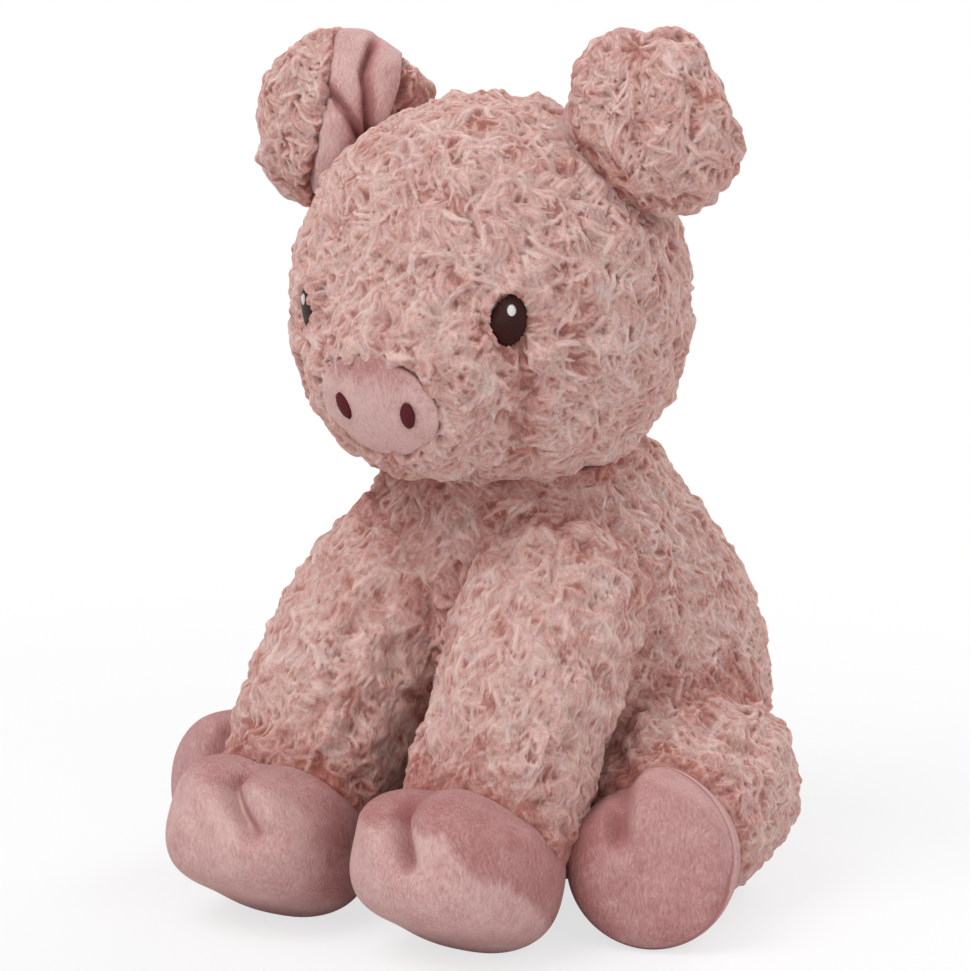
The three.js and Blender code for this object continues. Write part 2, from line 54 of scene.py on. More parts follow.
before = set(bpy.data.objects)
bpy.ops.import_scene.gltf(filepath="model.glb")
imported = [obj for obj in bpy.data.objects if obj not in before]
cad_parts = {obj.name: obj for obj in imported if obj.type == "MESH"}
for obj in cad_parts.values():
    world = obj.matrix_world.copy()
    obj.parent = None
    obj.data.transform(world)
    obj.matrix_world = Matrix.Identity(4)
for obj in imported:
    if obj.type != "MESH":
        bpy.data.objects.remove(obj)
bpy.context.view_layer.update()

MM = 0.001
SIDES = (("left", 1), ("right", -1))
# The paleness that each pile mesh carries: the pile's own tone and brushing, with painted shade and painted
# highlights
NAP_AND_PAINTED_SHADE = "nap"
STRAND = "strand"

FLOOR_GAP = 0.02
WHITE = (1, 1, 1, 1)

# Forms, in millimetres. Rows run from the seat to the neck, from the shoulder to the wrist and from the hip to the
# ankle.
TORSO_SPINE = [(0, lean, -0.5 + 28.5 * i) for i, lean in enumerate([0, 5, 9, 5, -8, -17])]
TORSO_WIDTHS = [60, 64, 63, 56.5, 48, 43]
TORSO_DEPTHS = [60, 63, 63, 59.5, 52, 45]
HEAD_CENTRE = np.array([0, -34, 176.0])
HEAD_RADIUS = 55.5
HEAD_STRETCH = np.array([59 / HEAD_RADIUS, 53 / HEAD_RADIUS, 1])
CHEEK_SQUARENESS = 2.8
MUZZLE_DROP = 26
MUZZLE_BULGE, MUZZLE_ANGLE = 8.5, 38
CHIN_SEAM_DEPTH, CHIN_SEAM_ANGLE = 2.6, 37
SNOUT_SIZE = (37, 31)
SNOUT_CURVE = 58
EYE_SIDE, EYE_DROP = 34.5, 5
EYE_SIZE = (10, 14.4)
NOSTRIL_SPACING = 20.6
ARM_SPINE = [(28, -33, 100), (31, -62, 69), (32, -84, 36), (32, -92, 22)]
ARM_WIDTHS = [23, 24.5, 25, 25, 24, 21]
HIP = np.array([45, 8, 31.5])
HIND_SOLE = np.array([76, -76, 23.0])
HIND_RADIUS = 23.5
THIGH_WIDTHS = [30, 31, 30, 28, 25, 22]
THIGH_SPREAD = 3.2
FRONT_TROTTER_MIDDLE = np.array([31.5, -100, 23.4])
FRONT_TROTTER_HALF = np.array([26.5, 30, 21.0])
FRONT_TROTTER_TIP = math.radians(24)


# Numbers and directions


def unit(vectors):
    return vectors / np.maximum(np.linalg.norm(vectors, axis=-1, keepdims=True), 1e-12)


def spline(values, t):
    """A smooth curve through evenly spaced values, t from 0 to 1."""
    values = np.asarray(values, float)
    last = len(values) - 1
    place = np.clip(t, 0, 1) * last
    i = np.minimum(place.astype(int), last - 1)
    f = (place - i).reshape((-1,) + (1,) * (values.ndim - 1))
    a, b = values[np.maximum(i - 1, 0)], values[i]
    c, d = values[i + 1], values[np.minimum(i + 2, last)]
    return b + 0.5 * f * (c - a + f * (2 * a - 5 * b + 4 * c - d + f * (3 * (b - c) + d - a)))


def smooth(low, high, x):
    """0 up to low, 1 from high on, and a smooth step between them."""
    t = np.clip((x - low) / (high - low), 0, 1)
    return t * t * (3 - 2 * t)


def bell(x, width):
    """1 where x is 0, falling off to either side."""
    return np.exp(-((x / width) ** 2))


def waves(places, wavelength, seed, count=1):
    """Smooth random numbers of about unit size at each place, that change over one wavelength."""
    rng = np.random.default_rng(seed)
    many = 14  # waves in each sum
    ways = unit(rng.normal(size=(many, 3))) * (2 * math.pi / wavelength) * rng.uniform(0.7, 1.4, (many, 1))
    phases = rng.uniform(0, 2 * math.pi, (count, many))
    return np.sin((places @ ways.T)[:, None, :] + phases).sum(-1) * math.sqrt(2 / many)


def facing(side, drop):
    """The way that looks side degrees to the left of straight ahead and drop degrees below level."""
    side, drop = math.radians(side), math.radians(drop)
    return np.array([math.cos(drop) * math.sin(side), -math.cos(drop) * math.cos(side), -math.sin(drop)])


# Forms: each takes unit directions, and how far outside the surface the points lie


def drawn_out(spine, widths, depths, squareness, side, way=None):
    """A body drawn out along a spine, with half widths on the side's way and half depths across it. A higher
    squareness makes its ends blunter. way is the spine's direction where the spine's own isn't used."""
    side = np.asarray(side, float)

    def surface(directions, grow=0.0):
        along = np.clip(directions[:, 1], -1, 1)
        rim = np.maximum(0, 1 - np.abs(along) ** squareness) ** (1 / squareness)
        around = np.maximum(1e-9, np.hypot(directions[:, 0], directions[:, 2]))
        t = (1 - along) / 2
        tangent = spline(spine, t + 0.01) - spline(spine, t - 0.01) if way is None else np.tile(way, (len(t), 1))
        tangent = unit(tangent)
        through = unit(np.cross(tangent, side))
        across = np.cross(through, tangent)
        wide = (directions[:, 0] / around * rim * (spline(widths, t) + grow))[:, None]
        deep = (directions[:, 2] / around * rim * (spline(depths, t) + grow))[:, None]
        return spline(spine, t) - tangent * (along * grow)[:, None] + across * wide + through * deep

    return surface


torso_form = drawn_out(TORSO_SPINE, TORSO_WIDTHS, TORSO_DEPTHS, 3, (1, 0, 0), (0, 0, 1))
arm_form = drawn_out(ARM_SPINE, ARM_WIDTHS, ARM_WIDTHS, 4, (1, 0, 0))
leg_way = unit((HIND_SOLE - HIP) * (1, 1, 0))
leg_length = float(np.linalg.norm((HIND_SOLE - HIP)[:2]))
ankle = leg_length - 30
hip_floor = HIP * (1, 1, 0)
thigh_base = drawn_out(
    [HIP, hip_floor + leg_way * ankle / 2 + (0, 0, 30.5), hip_floor + leg_way * (ankle + 10) + (0, 0, 23)],
    THIGH_WIDTHS, THIGH_WIDTHS, 4, (0, 0, 1),
)


def thigh_form(way, grow=0.0):
    """The haunch, which spreads at its outer side, low down."""
    places = thigh_base(way, grow)
    out = unit(places - HIP - leg_way * (ankle * 0.4))
    outer = smooth(0.1, 0.9, out @ unit(np.array([0.85, 0.5, -0.1])))
    spread = THIGH_SPREAD * outer * smooth(62, 40, places[:, 2])
    return places + out * spread[:, None] * (1, 1, 0.3)


muzzle_axis = facing(0, MUZZLE_DROP)


def head_base(way, grow=0.0):
    """The head before its muzzle is filled: a ball, squarer below, with a bulge ahead and the seam under it."""
    level = np.hypot(way[:, 0], way[:, 1])
    power = np.where(way[:, 2] < 0, CHEEK_SQUARENESS, 2.0)
    reach = HEAD_RADIUS / (level ** power + np.abs(way[:, 2]) ** power) ** (1 / power)
    above = smooth(-0.75, -0.2, way[:, 2])
    stretch = 1 + (HEAD_STRETCH - 1) * above[:, None]
    angle = np.degrees(np.arccos(np.clip(way @ muzzle_axis, -1, 1)))
    bulge = MUZZLE_BULGE * np.maximum(0, 1 - (angle / MUZZLE_ANGLE) ** 2) ** 2
    seam = CHIN_SEAM_DEPTH * bell(angle - CHIN_SEAM_ANGLE, 3.5) * smooth(0.02, -0.3, way[:, 2])
    return HEAD_CENTRE + way * stretch * reach[:, None] + way * (bulge - seam + grow)[:, None]


class Patch:
    """A place on the face: its middle, the way out of the face, and its half sizes across and up."""

    def __init__(self, middle, out, half):
        self.middle, self.out, self.half = middle, out, half
        self.across = unit(np.cross((0, 0, 1), out))
        self.up = np.cross(out, self.across)

    def reach(self, places):
        """How far out places lie, as a share of the oval, 1 on its edge. Places behind the head are far."""
        gap = places - self.middle
        flat = np.hypot(gap @ self.across / self.half[0], gap @ self.up / self.half[1])
        return np.where(gap @ self.out < -20, 9, flat)

    def roll(self, angle):
        """Turns the patch about the way out of it, in degrees, its right side up."""
        c, s = math.cos(math.radians(angle)), math.sin(math.radians(angle))
        self.across, self.up = self.across * c + self.up * s, self.up * c - self.across * s

    def place(self, across, up, out):
        """Places that lie so far across, up and out from its middle."""
        return self.middle + self.across * across[:, None] + self.up * up[:, None] + self.out * out[:, None]


def face_patch(side, drop, wide, tall):
    """The patch of that size where the head is side degrees to the left of its front and drop degrees below it."""
    way = facing(side, drop)[None]
    return Patch(head_base(way)[0], unit(way[0] / HEAD_STRETCH), (wide / 2, tall / 2))


snout_patch = face_patch(0, MUZZLE_DROP, *SNOUT_SIZE)


def head_form(way, grow=0.0):
    """The head, with its muzzle filled up to the edge of the snout disc."""
    places = head_base(way, grow)
    gap = places - snout_patch.middle
    dish = ((gap @ snout_patch.across) ** 2 + (gap @ snout_patch.up) ** 2) / (2 * SNOUT_CURVE)
    behind = dish + gap @ snout_patch.out - grow
    fill = np.maximum(0, -0.5 - behind) * smooth(1.9, 1.05, snout_patch.reach(places))
    return places + snout_patch.out * fill[:, None]


# The line of a front trotter's cleft, on the left foot and on the right one as its mirror copy
CLEFTS = {1: ((-3.5, 12), (1.5, -8)), -1: ((-3.9, 15), (-12.5, -5))}


def trotter_form(cleft_line):
    """A front trotter: a squarish ball with its toes tipped up, and cleft in front. The cleft's line runs from its
    upper end to its lower one, each in millimetres off the middle and degrees up."""
    power = 2.5
    (upper, top), (lower, bottom) = cleft_line
    tip_cos, tip_sin = math.cos(FRONT_TROTTER_TIP), math.sin(FRONT_TROTTER_TIP)

    def surface(way, grow=0.0):
        reach = 1 / (np.abs(way / (FRONT_TROTTER_HALF + grow)) ** power).sum(1) ** (1 / power)
        local = way * reach[:, None]
        up = np.degrees(np.arctan2(local[:, 2], -local[:, 1]))
        side = lower + (upper - lower) * np.clip((up - bottom) / (top - bottom), 0, 1.3)
        off = local[:, 0] - side
        front = local[:, 1] < 0
        cleft = bell(off, 2.6) * smooth(bottom - 8, bottom + 6, up) * smooth(top + 34, top + 2, up) * front
        valley = bell(off, 6.5) * smooth(bottom - 14, bottom + 10, up) * smooth(top + 60, top + 10, up) * front
        lobes = bell(off - 11, 8) * bell(up - 24, 26)
        lobes += 0.9 * bell(off + 9, 6) * bell(up - 14, 24)
        local = local + way * (3.2 * lobes * front - 4.5 * cleft - 3.2 * valley)[:, None]
        y = local[:, 1] * tip_cos + local[:, 2] * tip_sin
        z = -local[:, 1] * tip_sin + local[:, 2] * tip_cos
        placed = FRONT_TROTTER_MIDDLE + np.stack([local[:, 0], y, z], 1)
        # the underside curves up at the toes
        placed[:, 2] += 3.2 * smooth(-96, -118, placed[:, 1]) * smooth(22, 0, placed[:, 2])
        placed[:, 2] = np.maximum(placed[:, 2], FLOOR_GAP)
        return placed

    return surface


hind_base = drawn_out(
    [hip_floor + leg_way * ankle + (0, 0, 23), hip_floor + leg_way * leg_length + (0, 0, 23)],
    [HIND_RADIUS] * 2, [HIND_RADIUS] * 2, 3.2, (0, 0, 1),
)
inwards = np.cross(leg_way, (0, 0, 1))


def hind_places(places):
    """Places on the left hind trotter: how far inwards, up and ahead of the middle of its sole, and past its seam."""
    gap = places - HIND_SOLE
    across, up, ahead = gap @ inwards, gap[:, 2], gap @ leg_way
    return across, up, ahead, ahead + 5 + 0.6 * np.maximum(0, up + 1)


def hind_trotter_form(way, grow=0.0):
    """A hind trotter, lying on its heel, with a seam round its sole and its cleft at the top."""
    placed = hind_base(way, grow)
    across, up, ahead, past = hind_places(placed)
    cleft = bell(across - 7, 2.4) * smooth(2, 14, up) * smooth(-30, -14, ahead)
    seam = bell(past, 0.8) * smooth(15, 20, np.hypot(across, up))
    placed = placed - leg_way * (5.5 * cleft)[:, None] - way * (1.4 * seam)[:, None]
    toe = smooth(6, 10, across) * smooth(4, 18, up)
    placed[:, 2] += 1.6 * bell(across + 3, 9) * smooth(8, 20, up) - 3.6 * toe - 3.0 * cleft
    placed = placed + inwards * (1.5 * toe)[:, None]
    placed[:, 2] = np.maximum(placed[:, 2], FLOOR_GAP)
    return placed


EAR_CENTRE = np.array([56, -36, 225.5])
EAR_AXES = np.array([(0.656, 0, -0.755), (0.755, 0, 0.656), (0, -1, 0)])
EAR_HALF = np.array([27.5, 23.5, 17.5])
EAR_POWER = 2.3
EAR_WEB = unit(np.array([-0.823, 0.547, 0.15]))

# The front of the ear's opening, flat as ear_plane gives it: the lining's outline and the creases in the lining
EAR_OPEN = facing(-33, 8)
EAR_ACROSS = unit(np.cross(EAR_OPEN, (0, 0, 1)))
EAR_UP = np.cross(EAR_ACROSS, EAR_OPEN)
EAR_REGION = [
    (0, 20), (2, 29), (14, 32), (27, 26), (25, 10), (20, -2), (14, -8), (6, -17), (0, -26), (-7, -25), (-5.5, -13),
    (-4, -6), (-4, -2), (-1.5, 4.5), (-0.5, 12),
]
EAR_CREASES = [
    [(14.1, 21), (12, 14.7), (12.9, 9.9), (13.2, 0), (14.1, -5)],
    [(0.5, 11), (3.6, 8.1), (6.9, 3.6), (9.3, -1.5), (12, -7)],
]

# Flat edges of the left ear and of the right one as its mirror copy: the way out and how far from the ear's middle
EAR_EDGES = {
    1: [((0.761, 0.543, 0.355), 16.4), ((-0.077, 0.122, 0.99), 22.0)],
    -1: [((0.84, -0.54, -0.049), 18.4), ((0.683, -0.318, 0.657), 19.4), ((0.201, 0.042, 0.979), 21.5)],
}
EDGE_ROUNDING = 3.4


def ear_form(side):
    """The left ear, or the right one as its mirror copy. The right one is drawn out where it joins the head."""

    def surface(way, grow=0.0):
        local = way @ EAR_AXES.T
        reach = 1 / (np.abs(local / (EAR_HALF + grow)) ** EAR_POWER).sum(1) ** (1 / EAR_POWER)
        if side < 0:
            angle = np.degrees(np.arccos(np.clip(way @ EAR_WEB, -1, 1)))
            reach = reach * (1 + 0.34 * bell(angle, 24))
        places = way * reach[:, None]
        for out, far in EAR_EDGES[side]:
            over = np.maximum(0, places @ np.array(out) - far - grow + 1.6)
            left = EDGE_ROUNDING * (1 - np.exp(-over / EDGE_ROUNDING))
            places = places - np.array(out) * (over - left)[:, None]
        return EAR_CENTRE + places

    return surface


def ear_plane(places):
    """Places as seen from in front of the ear's opening: towards the head, up, and out of the opening."""
    gap = places - EAR_CENTRE
    return gap @ EAR_ACROSS, gap @ EAR_UP, gap @ EAR_OPEN


def to_line(across, up, line):
    """How far flat places are from a line of points."""
    far = np.full(len(across), 1e9)
    for (x0, y0), (x1, y1) in zip(line, line[1:]):
        x, y = x1 - x0, y1 - y0
        t = np.clip(((across - x0) * x + (up - y0) * y) / (x * x + y * y), 0, 1)
        far = np.minimum(far, np.hypot(across - x0 - t * x, up - y0 - t * y))
    return far


def within(across, up, outline):
    """How far flat places are inside an outline, less than 0 outside."""
    inside = np.zeros(len(across), bool)
    closed = outline + outline[:1]
    for (x0, y0), (x1, y1) in zip(closed, closed[1:]):
        if y0 != y1:
            inside ^= ((up < y0) != (up < y1)) & (across < x0 + (up - y0) / (y1 - y0) * (x1 - x0))
    return to_line(across, up, closed) * np.where(inside, 1, -1)


def lining_form(side, fold):
    """The short plush inside an ear, as its ear form. fold is how far the ear's edge folds over it."""

    def surface(way, grow=0.0):
        places = ear_form(side)(way, grow)
        across, up, ahead = ear_plane(places)
        across = across - fold
        inside = np.where(ahead > -3, within(across, up, EAR_REGION), -9)
        crease = sum(bell(to_line(across, up, line), 1.3) for line in EAR_CREASES)
        lobe = 2.4 * bell(to_line(across, up, [(4, -14), (5, 0)]), 5)
        lobe = lobe + 1.6 * bell(to_line(across, up, [(18, 14), (18, 2)]), 4)
        puffed = smooth(-0.5, 4, inside) * (6.2 + lobe)
        rise = puffed - 4.5 * np.minimum(crease, 1) * smooth(0, 4, inside) - 6.0
        return places + way * rise[:, None]

    return surface


def lining_painted_shade(side, fold):
    """Painted shade: deep in the creases, along a band down the lining and towards the head; pale on the lobes."""

    def nap(places):
        across, up, _ = ear_plane(places * (side, 1, 1))
        across = across - fold
        crease = sum(bell(to_line(across, up, line), 1.8) for line in EAR_CREASES)
        shade = bell(to_line(across, up, [(9, -16), (10, -6), (12, 6)]), 3.5)
        edge = smooth(16, 26, across) * smooth(22, 8, up)
        return 0.66 - 0.65 * np.minimum(crease, 1) - 0.4 * shade - 0.4 * edge

    return nap


TAIL_ROOT = np.array([0, 68.686, 44.0])
TAIL_WIDTHS = [5, 4.6, 4.4, 4.2, 3.8, 3.2]
tail_form = drawn_out(
    [TAIL_ROOT] + [
        (8 * math.sin(t), TAIL_ROOT[1] + 7 + 24 * t / (2 * math.pi), TAIL_ROOT[2] + 8 * (1 - math.cos(t)))
        for t in np.linspace(0, 2 * math.pi, 9)
    ],
    TAIL_WIDTHS, TAIL_WIDTHS, 4, unit(np.array([-0.5, 1, 0.1])),
)


def sided(form, sign):
    """The form on the pig's left where sign is 1, and its mirror copy on the right where it is -1."""
    return form if sign > 0 else lambda directions, grow=0.0: form(directions * (-1, 1, 1), grow) * (-1, 1, 1)


# Meshes


def arrays(mesh):
    """A mesh's corners, their outward normals and its triangles."""
    places = np.empty(len(mesh.vertices) * 3, np.float32)
    mesh.vertices.foreach_get("co", places)
    normals = np.empty(len(mesh.vertices) * 3, np.float32)
    mesh.vertex_normals.foreach_get("vector", normals)
    mesh.calc_loop_triangles()
    triangles = np.empty(len(mesh.loop_triangles) * 3, np.int32)
    mesh.loop_triangles.foreach_get("vertices", triangles)
    return places.reshape(-1, 3).astype(float), normals.reshape(-1, 3).astype(float), triangles.reshape(-1, 3)


def set_places(mesh, places):
    """Moves a mesh's corners."""
    mesh.vertices.foreach_set("co", places.astype(np.float32).ravel())
    mesh.update()


def set_values(mesh, name, values):
    """Gives each of a mesh's corners a value, or a vector where values has rows."""
    kind, key = ("FLOAT", "value") if values.ndim == 1 else ("FLOAT_VECTOR", "vector")
    mesh.attributes.new(name, kind, "POINT").data.foreach_set(key, values.astype(np.float32).ravel())


def outward(mesh):
    """Turns a mesh's faces outward."""
    bm = bmesh.new()
    bm.from_mesh(mesh)
    bmesh.ops.recalc_face_normals(bm, faces=bm.faces)
    bm.to_mesh(mesh)
    bm.free()
    mesh.update()


def shaped(name, form, level=5, grow=0.0):
    """A ball whose corners are moved onto a form, in millimetres."""
    bm = bmesh.new()
    bmesh.ops.create_icosphere(bm, subdivisions=level, radius=1)
    mesh = bpy.data.meshes.new(name)
    bm.to_mesh(mesh)
    bm.free()
    ways, _, _ = arrays(mesh)
    set_places(mesh, form(unit(ways), grow))
    outward(mesh)
    return mesh


def piece(name, mesh, material):
    """An object, at the origin, of a mesh that was made in millimetres."""
    places, _, _ = arrays(mesh)
    set_places(mesh, places * MM)
    mesh.name = name
    mesh.shade_smooth()
    mesh.materials.append(material)
    made = bpy.data.objects.new(name, mesh)
    bpy.context.scene.collection.objects.link(made)
    return made


def velour(name, mesh, nap=None):
    """A piece of short plush. nap says how pale its pile is at each place, in millimetres, 0.5 on average: from how
    the pile is brushed, and from painted shade and painted highlights.
    """
    places, _, _ = arrays(mesh)
    set_values(mesh, NAP_AND_PAINTED_SHADE, np.full(len(places), 0.5) if nap is None else nap(places))
    return piece(name, mesh, velour_material())


class Guide:
    """The surface that a pile grows from, and that other cloths are blended towards."""

    def __init__(self, name, form):
        self.places, self.normals, self.triangles = arrays(shaped(name, form))
        self.tree = BVHTree.FromPolygons(self.places.tolist(), self.triangles.tolist())

    def outside(self, places):
        """How far outside the surface each place lies, less than 0 inside."""
        found = [self.tree.find_nearest(place) for place in places.tolist()]
        gap = places - np.array([f[0] for f in found])
        ways = np.array([f[1] for f in found])
        return np.where((gap * ways).sum(1) < 0, -1, 1) * np.linalg.norm(gap, axis=1)


# Pile


# How far apart the locks stand, and the middle value of each of their sizes and its spread
LOCK_SPACING = 1.6
LOCK_LENGTH = (7.5, 0.3)
LOCK_WIDTH = (1.65, 0.35)
LOCK_RISE = (0.8, 0.5)
LOCK_TONE_AND_SHADE = (0.5, 0.1)


class Locks:
    """Where the locks of a pile stand, which way they lie, and how large they are."""

    KEYS = ("roots", "normals", "lay", "length", "width", "rise", "tint", "curl", "sway")

    def __init__(self, places, normals, comb, seed):
        """comb is the way that the pile is brushed."""
        rng = np.random.default_rng(seed)
        many = len(places)
        # neighbouring locks lie in the same swirls, and stand up in the same tufts
        swirl = waves(places, 20, 1, 3) * 0.6 + waves(places, 9, 2, 3) * 0.55
        lift = waves(places, 8.5, 3)[:, 0] * 0.6 + waves(places, 19, 4)[:, 0] * 0.3
        bend = waves(places, 12, 5)[:, 0]
        self.lay = swirl + comb + rng.normal(0, 0.22, (many, 3))
        self.roots, self.normals = places, normals
        self.settle()

        def spread(size):
            return size[0] * (1 + size[1] * rng.uniform(-1, 1, many))

        self.length = spread(LOCK_LENGTH) * (1 + 0.1 * lift)
        self.width = spread(LOCK_WIDTH)
        self.rise = np.maximum(0.1, LOCK_RISE[0] + LOCK_RISE[1] * lift + rng.uniform(-0.15, 0.15, many))
        # each lock's own tone, at random, with painted shade that darkens the locks in the hollows between tufts
        self.tint = LOCK_TONE_AND_SHADE[0] + LOCK_TONE_AND_SHADE[1] * lift + rng.normal(0, 0.1, many)
        self.curl = 0.9 * bend + rng.normal(0, 0.3, many)
        self.sway = rng.normal(0, 0.1, many)

    def settle(self):
        """Lays the locks along their surface."""
        self.lay = unit(self.lay - self.normals * (self.lay * self.normals).sum(1, keepdims=True))

    def kept(self, mask):
        """The locks that a mask keeps."""
        copy = object.__new__(Locks)
        for key in self.KEYS:
            setattr(copy, key, getattr(self, key)[mask])
        return copy


def felt(places, normals, locks, steps=11, near_by=11):
    """How high the pile stands over each place, how pale it is there, and where that is along and across its lock."""
    # each lock is a row of points on a curve, as wide and as high as the lock is there
    s = (np.arange(steps) + 0.5) / steps
    along = s[None, :, None]
    across = np.cross(locks.normals, locks.lay)
    curl, sway = locks.curl[:, None, None], locks.sway[:, None, None]
    forward = along ** 1.1 * (1 - 0.25 * np.abs(curl) * along)
    sideways = curl * along ** 2 + sway * np.sin(along * 1.7 * math.pi)
    curve = locks.lay[:, None] * forward + across[:, None] * sideways
    points = locks.roots[:, None] + curve * locks.length[:, None, None]
    ways = unit(np.gradient(points, axis=1)).reshape(-1, 3)
    points = points.reshape(-1, 3)
    half = (locks.width[:, None] / 2 * np.sin(math.pi * s ** 0.8) ** 0.6).ravel()
    step = np.repeat(locks.length / steps / 2, steps)
    high = (locks.rise[:, None] * np.sin(np.minimum(s / 0.75, 1) * math.pi / 2)).ravel()
    # painted shade: darker towards a lock's root, paler towards its tip
    pale = (locks.tint[:, None] + 0.38 * (s - 0.5)).ravel()

    # the highest of the points near by is the one that shows
    tree = KDTree(len(points))
    for i, point in enumerate(points.tolist()):
        tree.insert(point, i)
    tree.balance()
    near = np.array([[i for _, i, _ in tree.find_n(place, near_by)] for place in places.tolist()])
    gap = places[:, None] - points[near]
    gap -= normals[:, None] * (gap * normals[:, None]).sum(-1, keepdims=True)
    reach = (gap * ways[near]).sum(-1)
    gap -= ways[near] * np.clip(reach, -step[near], step[near])[..., None]
    lump = np.sqrt(np.maximum(0, 1 - (gap ** 2).sum(-1) / half[near] ** 2))
    height = np.where(lump > 0, high[near] + half[near] * 0.4 * lump, 0)
    top = height.argmax(1)[:, None]
    height, lump, pale, which = (np.take_along_axis(each, top, 1)[:, 0] for each in (height, lump, pale[near], near))

    # fibres run along the lock, and each lock has its own
    gap = places - points[which]
    own = (locks.roots @ (12.9, 78.2, 37.7) % 5)[which // steps]
    side = (gap * np.cross(normals, ways[which])).sum(1) + own
    ahead = (gap * ways[which]).sum(1) + 2 * step[which] * (which % steps)
    # paleness: the lock's own tone, with painted shade at its edges and, where no lock stands, deep between the locks
    return height, np.where(height > 0, pale + 0.36 * (lump - 0.65), 0.1), np.stack([side, ahead * 0.25, side * 0], 1)


def eased(mesh, values):
    """Evens out values between neighbouring corners of a mesh."""
    ends = np.empty(len(mesh.edges) * 2, np.int32)
    mesh.edges.foreach_get("vertices", ends)
    first, second = ends.reshape(-1, 2).T
    many = len(values)
    count = np.bincount(first, minlength=many) + np.bincount(second, minlength=many)
    total = np.bincount(first, values[second], many) + np.bincount(second, values[first], many)
    return (values + total / count) / 2


def scattered(guide, spacing, rng):
    """Places spread evenly over a guide's surface, with their normals."""
    a, b, c = (guide.places[guide.triangles[:, i]] for i in range(3))
    area = np.linalg.norm(np.cross(b - a, c - a), axis=1) / 2
    total = np.cumsum(area)
    count = int(3 * total[-1] / spacing ** 2)  # more than can stand so far apart
    pick = np.minimum(np.searchsorted(total, rng.uniform(0, total[-1], count)), len(area) - 1)
    r = np.sqrt(rng.uniform(0, 1, count))
    w = rng.uniform(0, 1, count)
    weights = np.stack([1 - r, r * (1 - w), r * w], 1)[:, :, None]
    corners = guide.triangles[pick]
    places = (guide.places[corners] * weights).sum(1)
    normals = unit((guide.normals[corners] * weights).sum(1))
    near = KDTree(count)
    for i, place in enumerate(places.tolist()):
        near.insert(place, i)
    near.balance()
    left = np.ones(count, bool)
    for i in range(count):
        if left[i]:
            for _, other, _ in near.find_range(places[i], spacing * 0.83):
                if other > i:
                    left[other] = False
    return places[left], normals[left]


CLOTH_DEPTH = 0.9
PILE_FLOOR_GAP = 0.05
SHADOW_REACH = 18


def curly_cloth(name, form, guide, others, comb, seed, level, keep=None, change=None, sink=0.5):
    """A piece of curly plush: its cloth, raised by the locks on it. others are the guides that it meets, each with
    the width over which it flows into them; near them its pile is painted darker, as painted shadow. keep says where
    there is pile, and elsewhere the cloth lies sunk. change alters the locks."""
    mesh = shaped(name, form, level, -CLOTH_DEPTH)
    places, normals, _ = arrays(mesh)
    rng = np.random.default_rng(seed + 50)
    roots, ways = scattered(guide, LOCK_SPACING * bpy.context.scene.pig_pile.spacing, rng)
    locks = Locks(roots - ways * CLOTH_DEPTH, ways, np.asarray(comb) * 0.85, seed + 60)
    if change is not None:
        change(locks)
    if keep is not None:
        locks = locks.kept(keep(locks.roots))
    height, pale, strand = felt(places, normals, locks)
    shadow = np.zeros(len(places))
    for other, width in others:
        gap = other.outside(places)
        share = np.maximum(width - np.abs(gap), 0) / width
        places += normals * (share ** 2 * width / 4)[:, None]
        shadow = np.maximum(shadow, 1 - np.clip(gap, 0, SHADOW_REACH) / SHADOW_REACH)
    height = eased(mesh, height)
    # tufts, small and large
    height += 0.4 * waves(places, 6.5, 31)[:, 0] + 0.5 * waves(places, 14, 32)[:, 0]
    if keep is not None:
        height = np.where(keep(places), height, -sink)
    places = places + normals * height[:, None]
    places[:, 2] = np.maximum(places[:, 2], PILE_FLOOR_GAP)
    set_places(mesh, places)
    # painted shadow: the pile is darker where another part lies close by
    set_values(mesh, NAP_AND_PAINTED_SHADE, pale - 0.5 * shadow ** 2)
    set_values(mesh, STRAND, strand)
    return piece(name, mesh, curly_material())


# Materials


class Wire:
    """A socket in a shader's arithmetic."""

    def __init__(self, nodes, socket):
        self.nodes, self.socket = nodes, socket

    def _math(self, operation, *values):
        return self.nodes.node("ShaderNodeMath", {"operation": operation}, dict(enumerate(values)))

    def __add__(self, other):
        return self._math("ADD", self, other)

    def __radd__(self, other):
        return self._math("ADD", other, self)

    def __sub__(self, other):
        return self._math("SUBTRACT", self, other)

    def __rsub__(self, other):
        return self._math("SUBTRACT", other, self)

    def __mul__(self, other):
        return self._math("MULTIPLY", self, other)

    def __rmul__(self, other):
        return self._math("MULTIPLY", other, self)

    def clip(self):
        return self.nodes.node("ShaderNodeClamp", {}, {"Value": self})


def linear(colour):
    """A written colour as the shader's linear one."""
    return tuple(c / 12.92 if c <= 0.04045 else ((c + 0.055) / 1.055) ** 2.4 for c in colour) + (1.0,)


class Nodes:
    """The nodes of a material or of the world."""

    def __init__(self, owner):
        owner.use_nodes = True
        self.tree = owner.node_tree

    def node(self, kind, settings, values, output=0):
        """Adds a node: its settings first, then the values or links of its sockets."""
        made = self.tree.nodes.new(kind)
        for key, value in settings.items():
            if key == "stops":
                ramp = made.color_ramp
                while len(ramp.elements) < len(value):
                    ramp.elements.new(0.5)
                for element, (place, colour) in zip(ramp.elements, value):
                    element.position, element.color = place, linear(colour)
            else:
                setattr(made, key, value)
        for key, value in values.items():
            self.put(value, made.inputs[key])
        return Wire(self, made.outputs[output])

    def put(self, value, socket):
        """Sets a socket to a value, or links a wire to it."""
        if isinstance(value, Wire):
            self.tree.links.new(value.socket, socket)
        else:
            socket.default_value = value


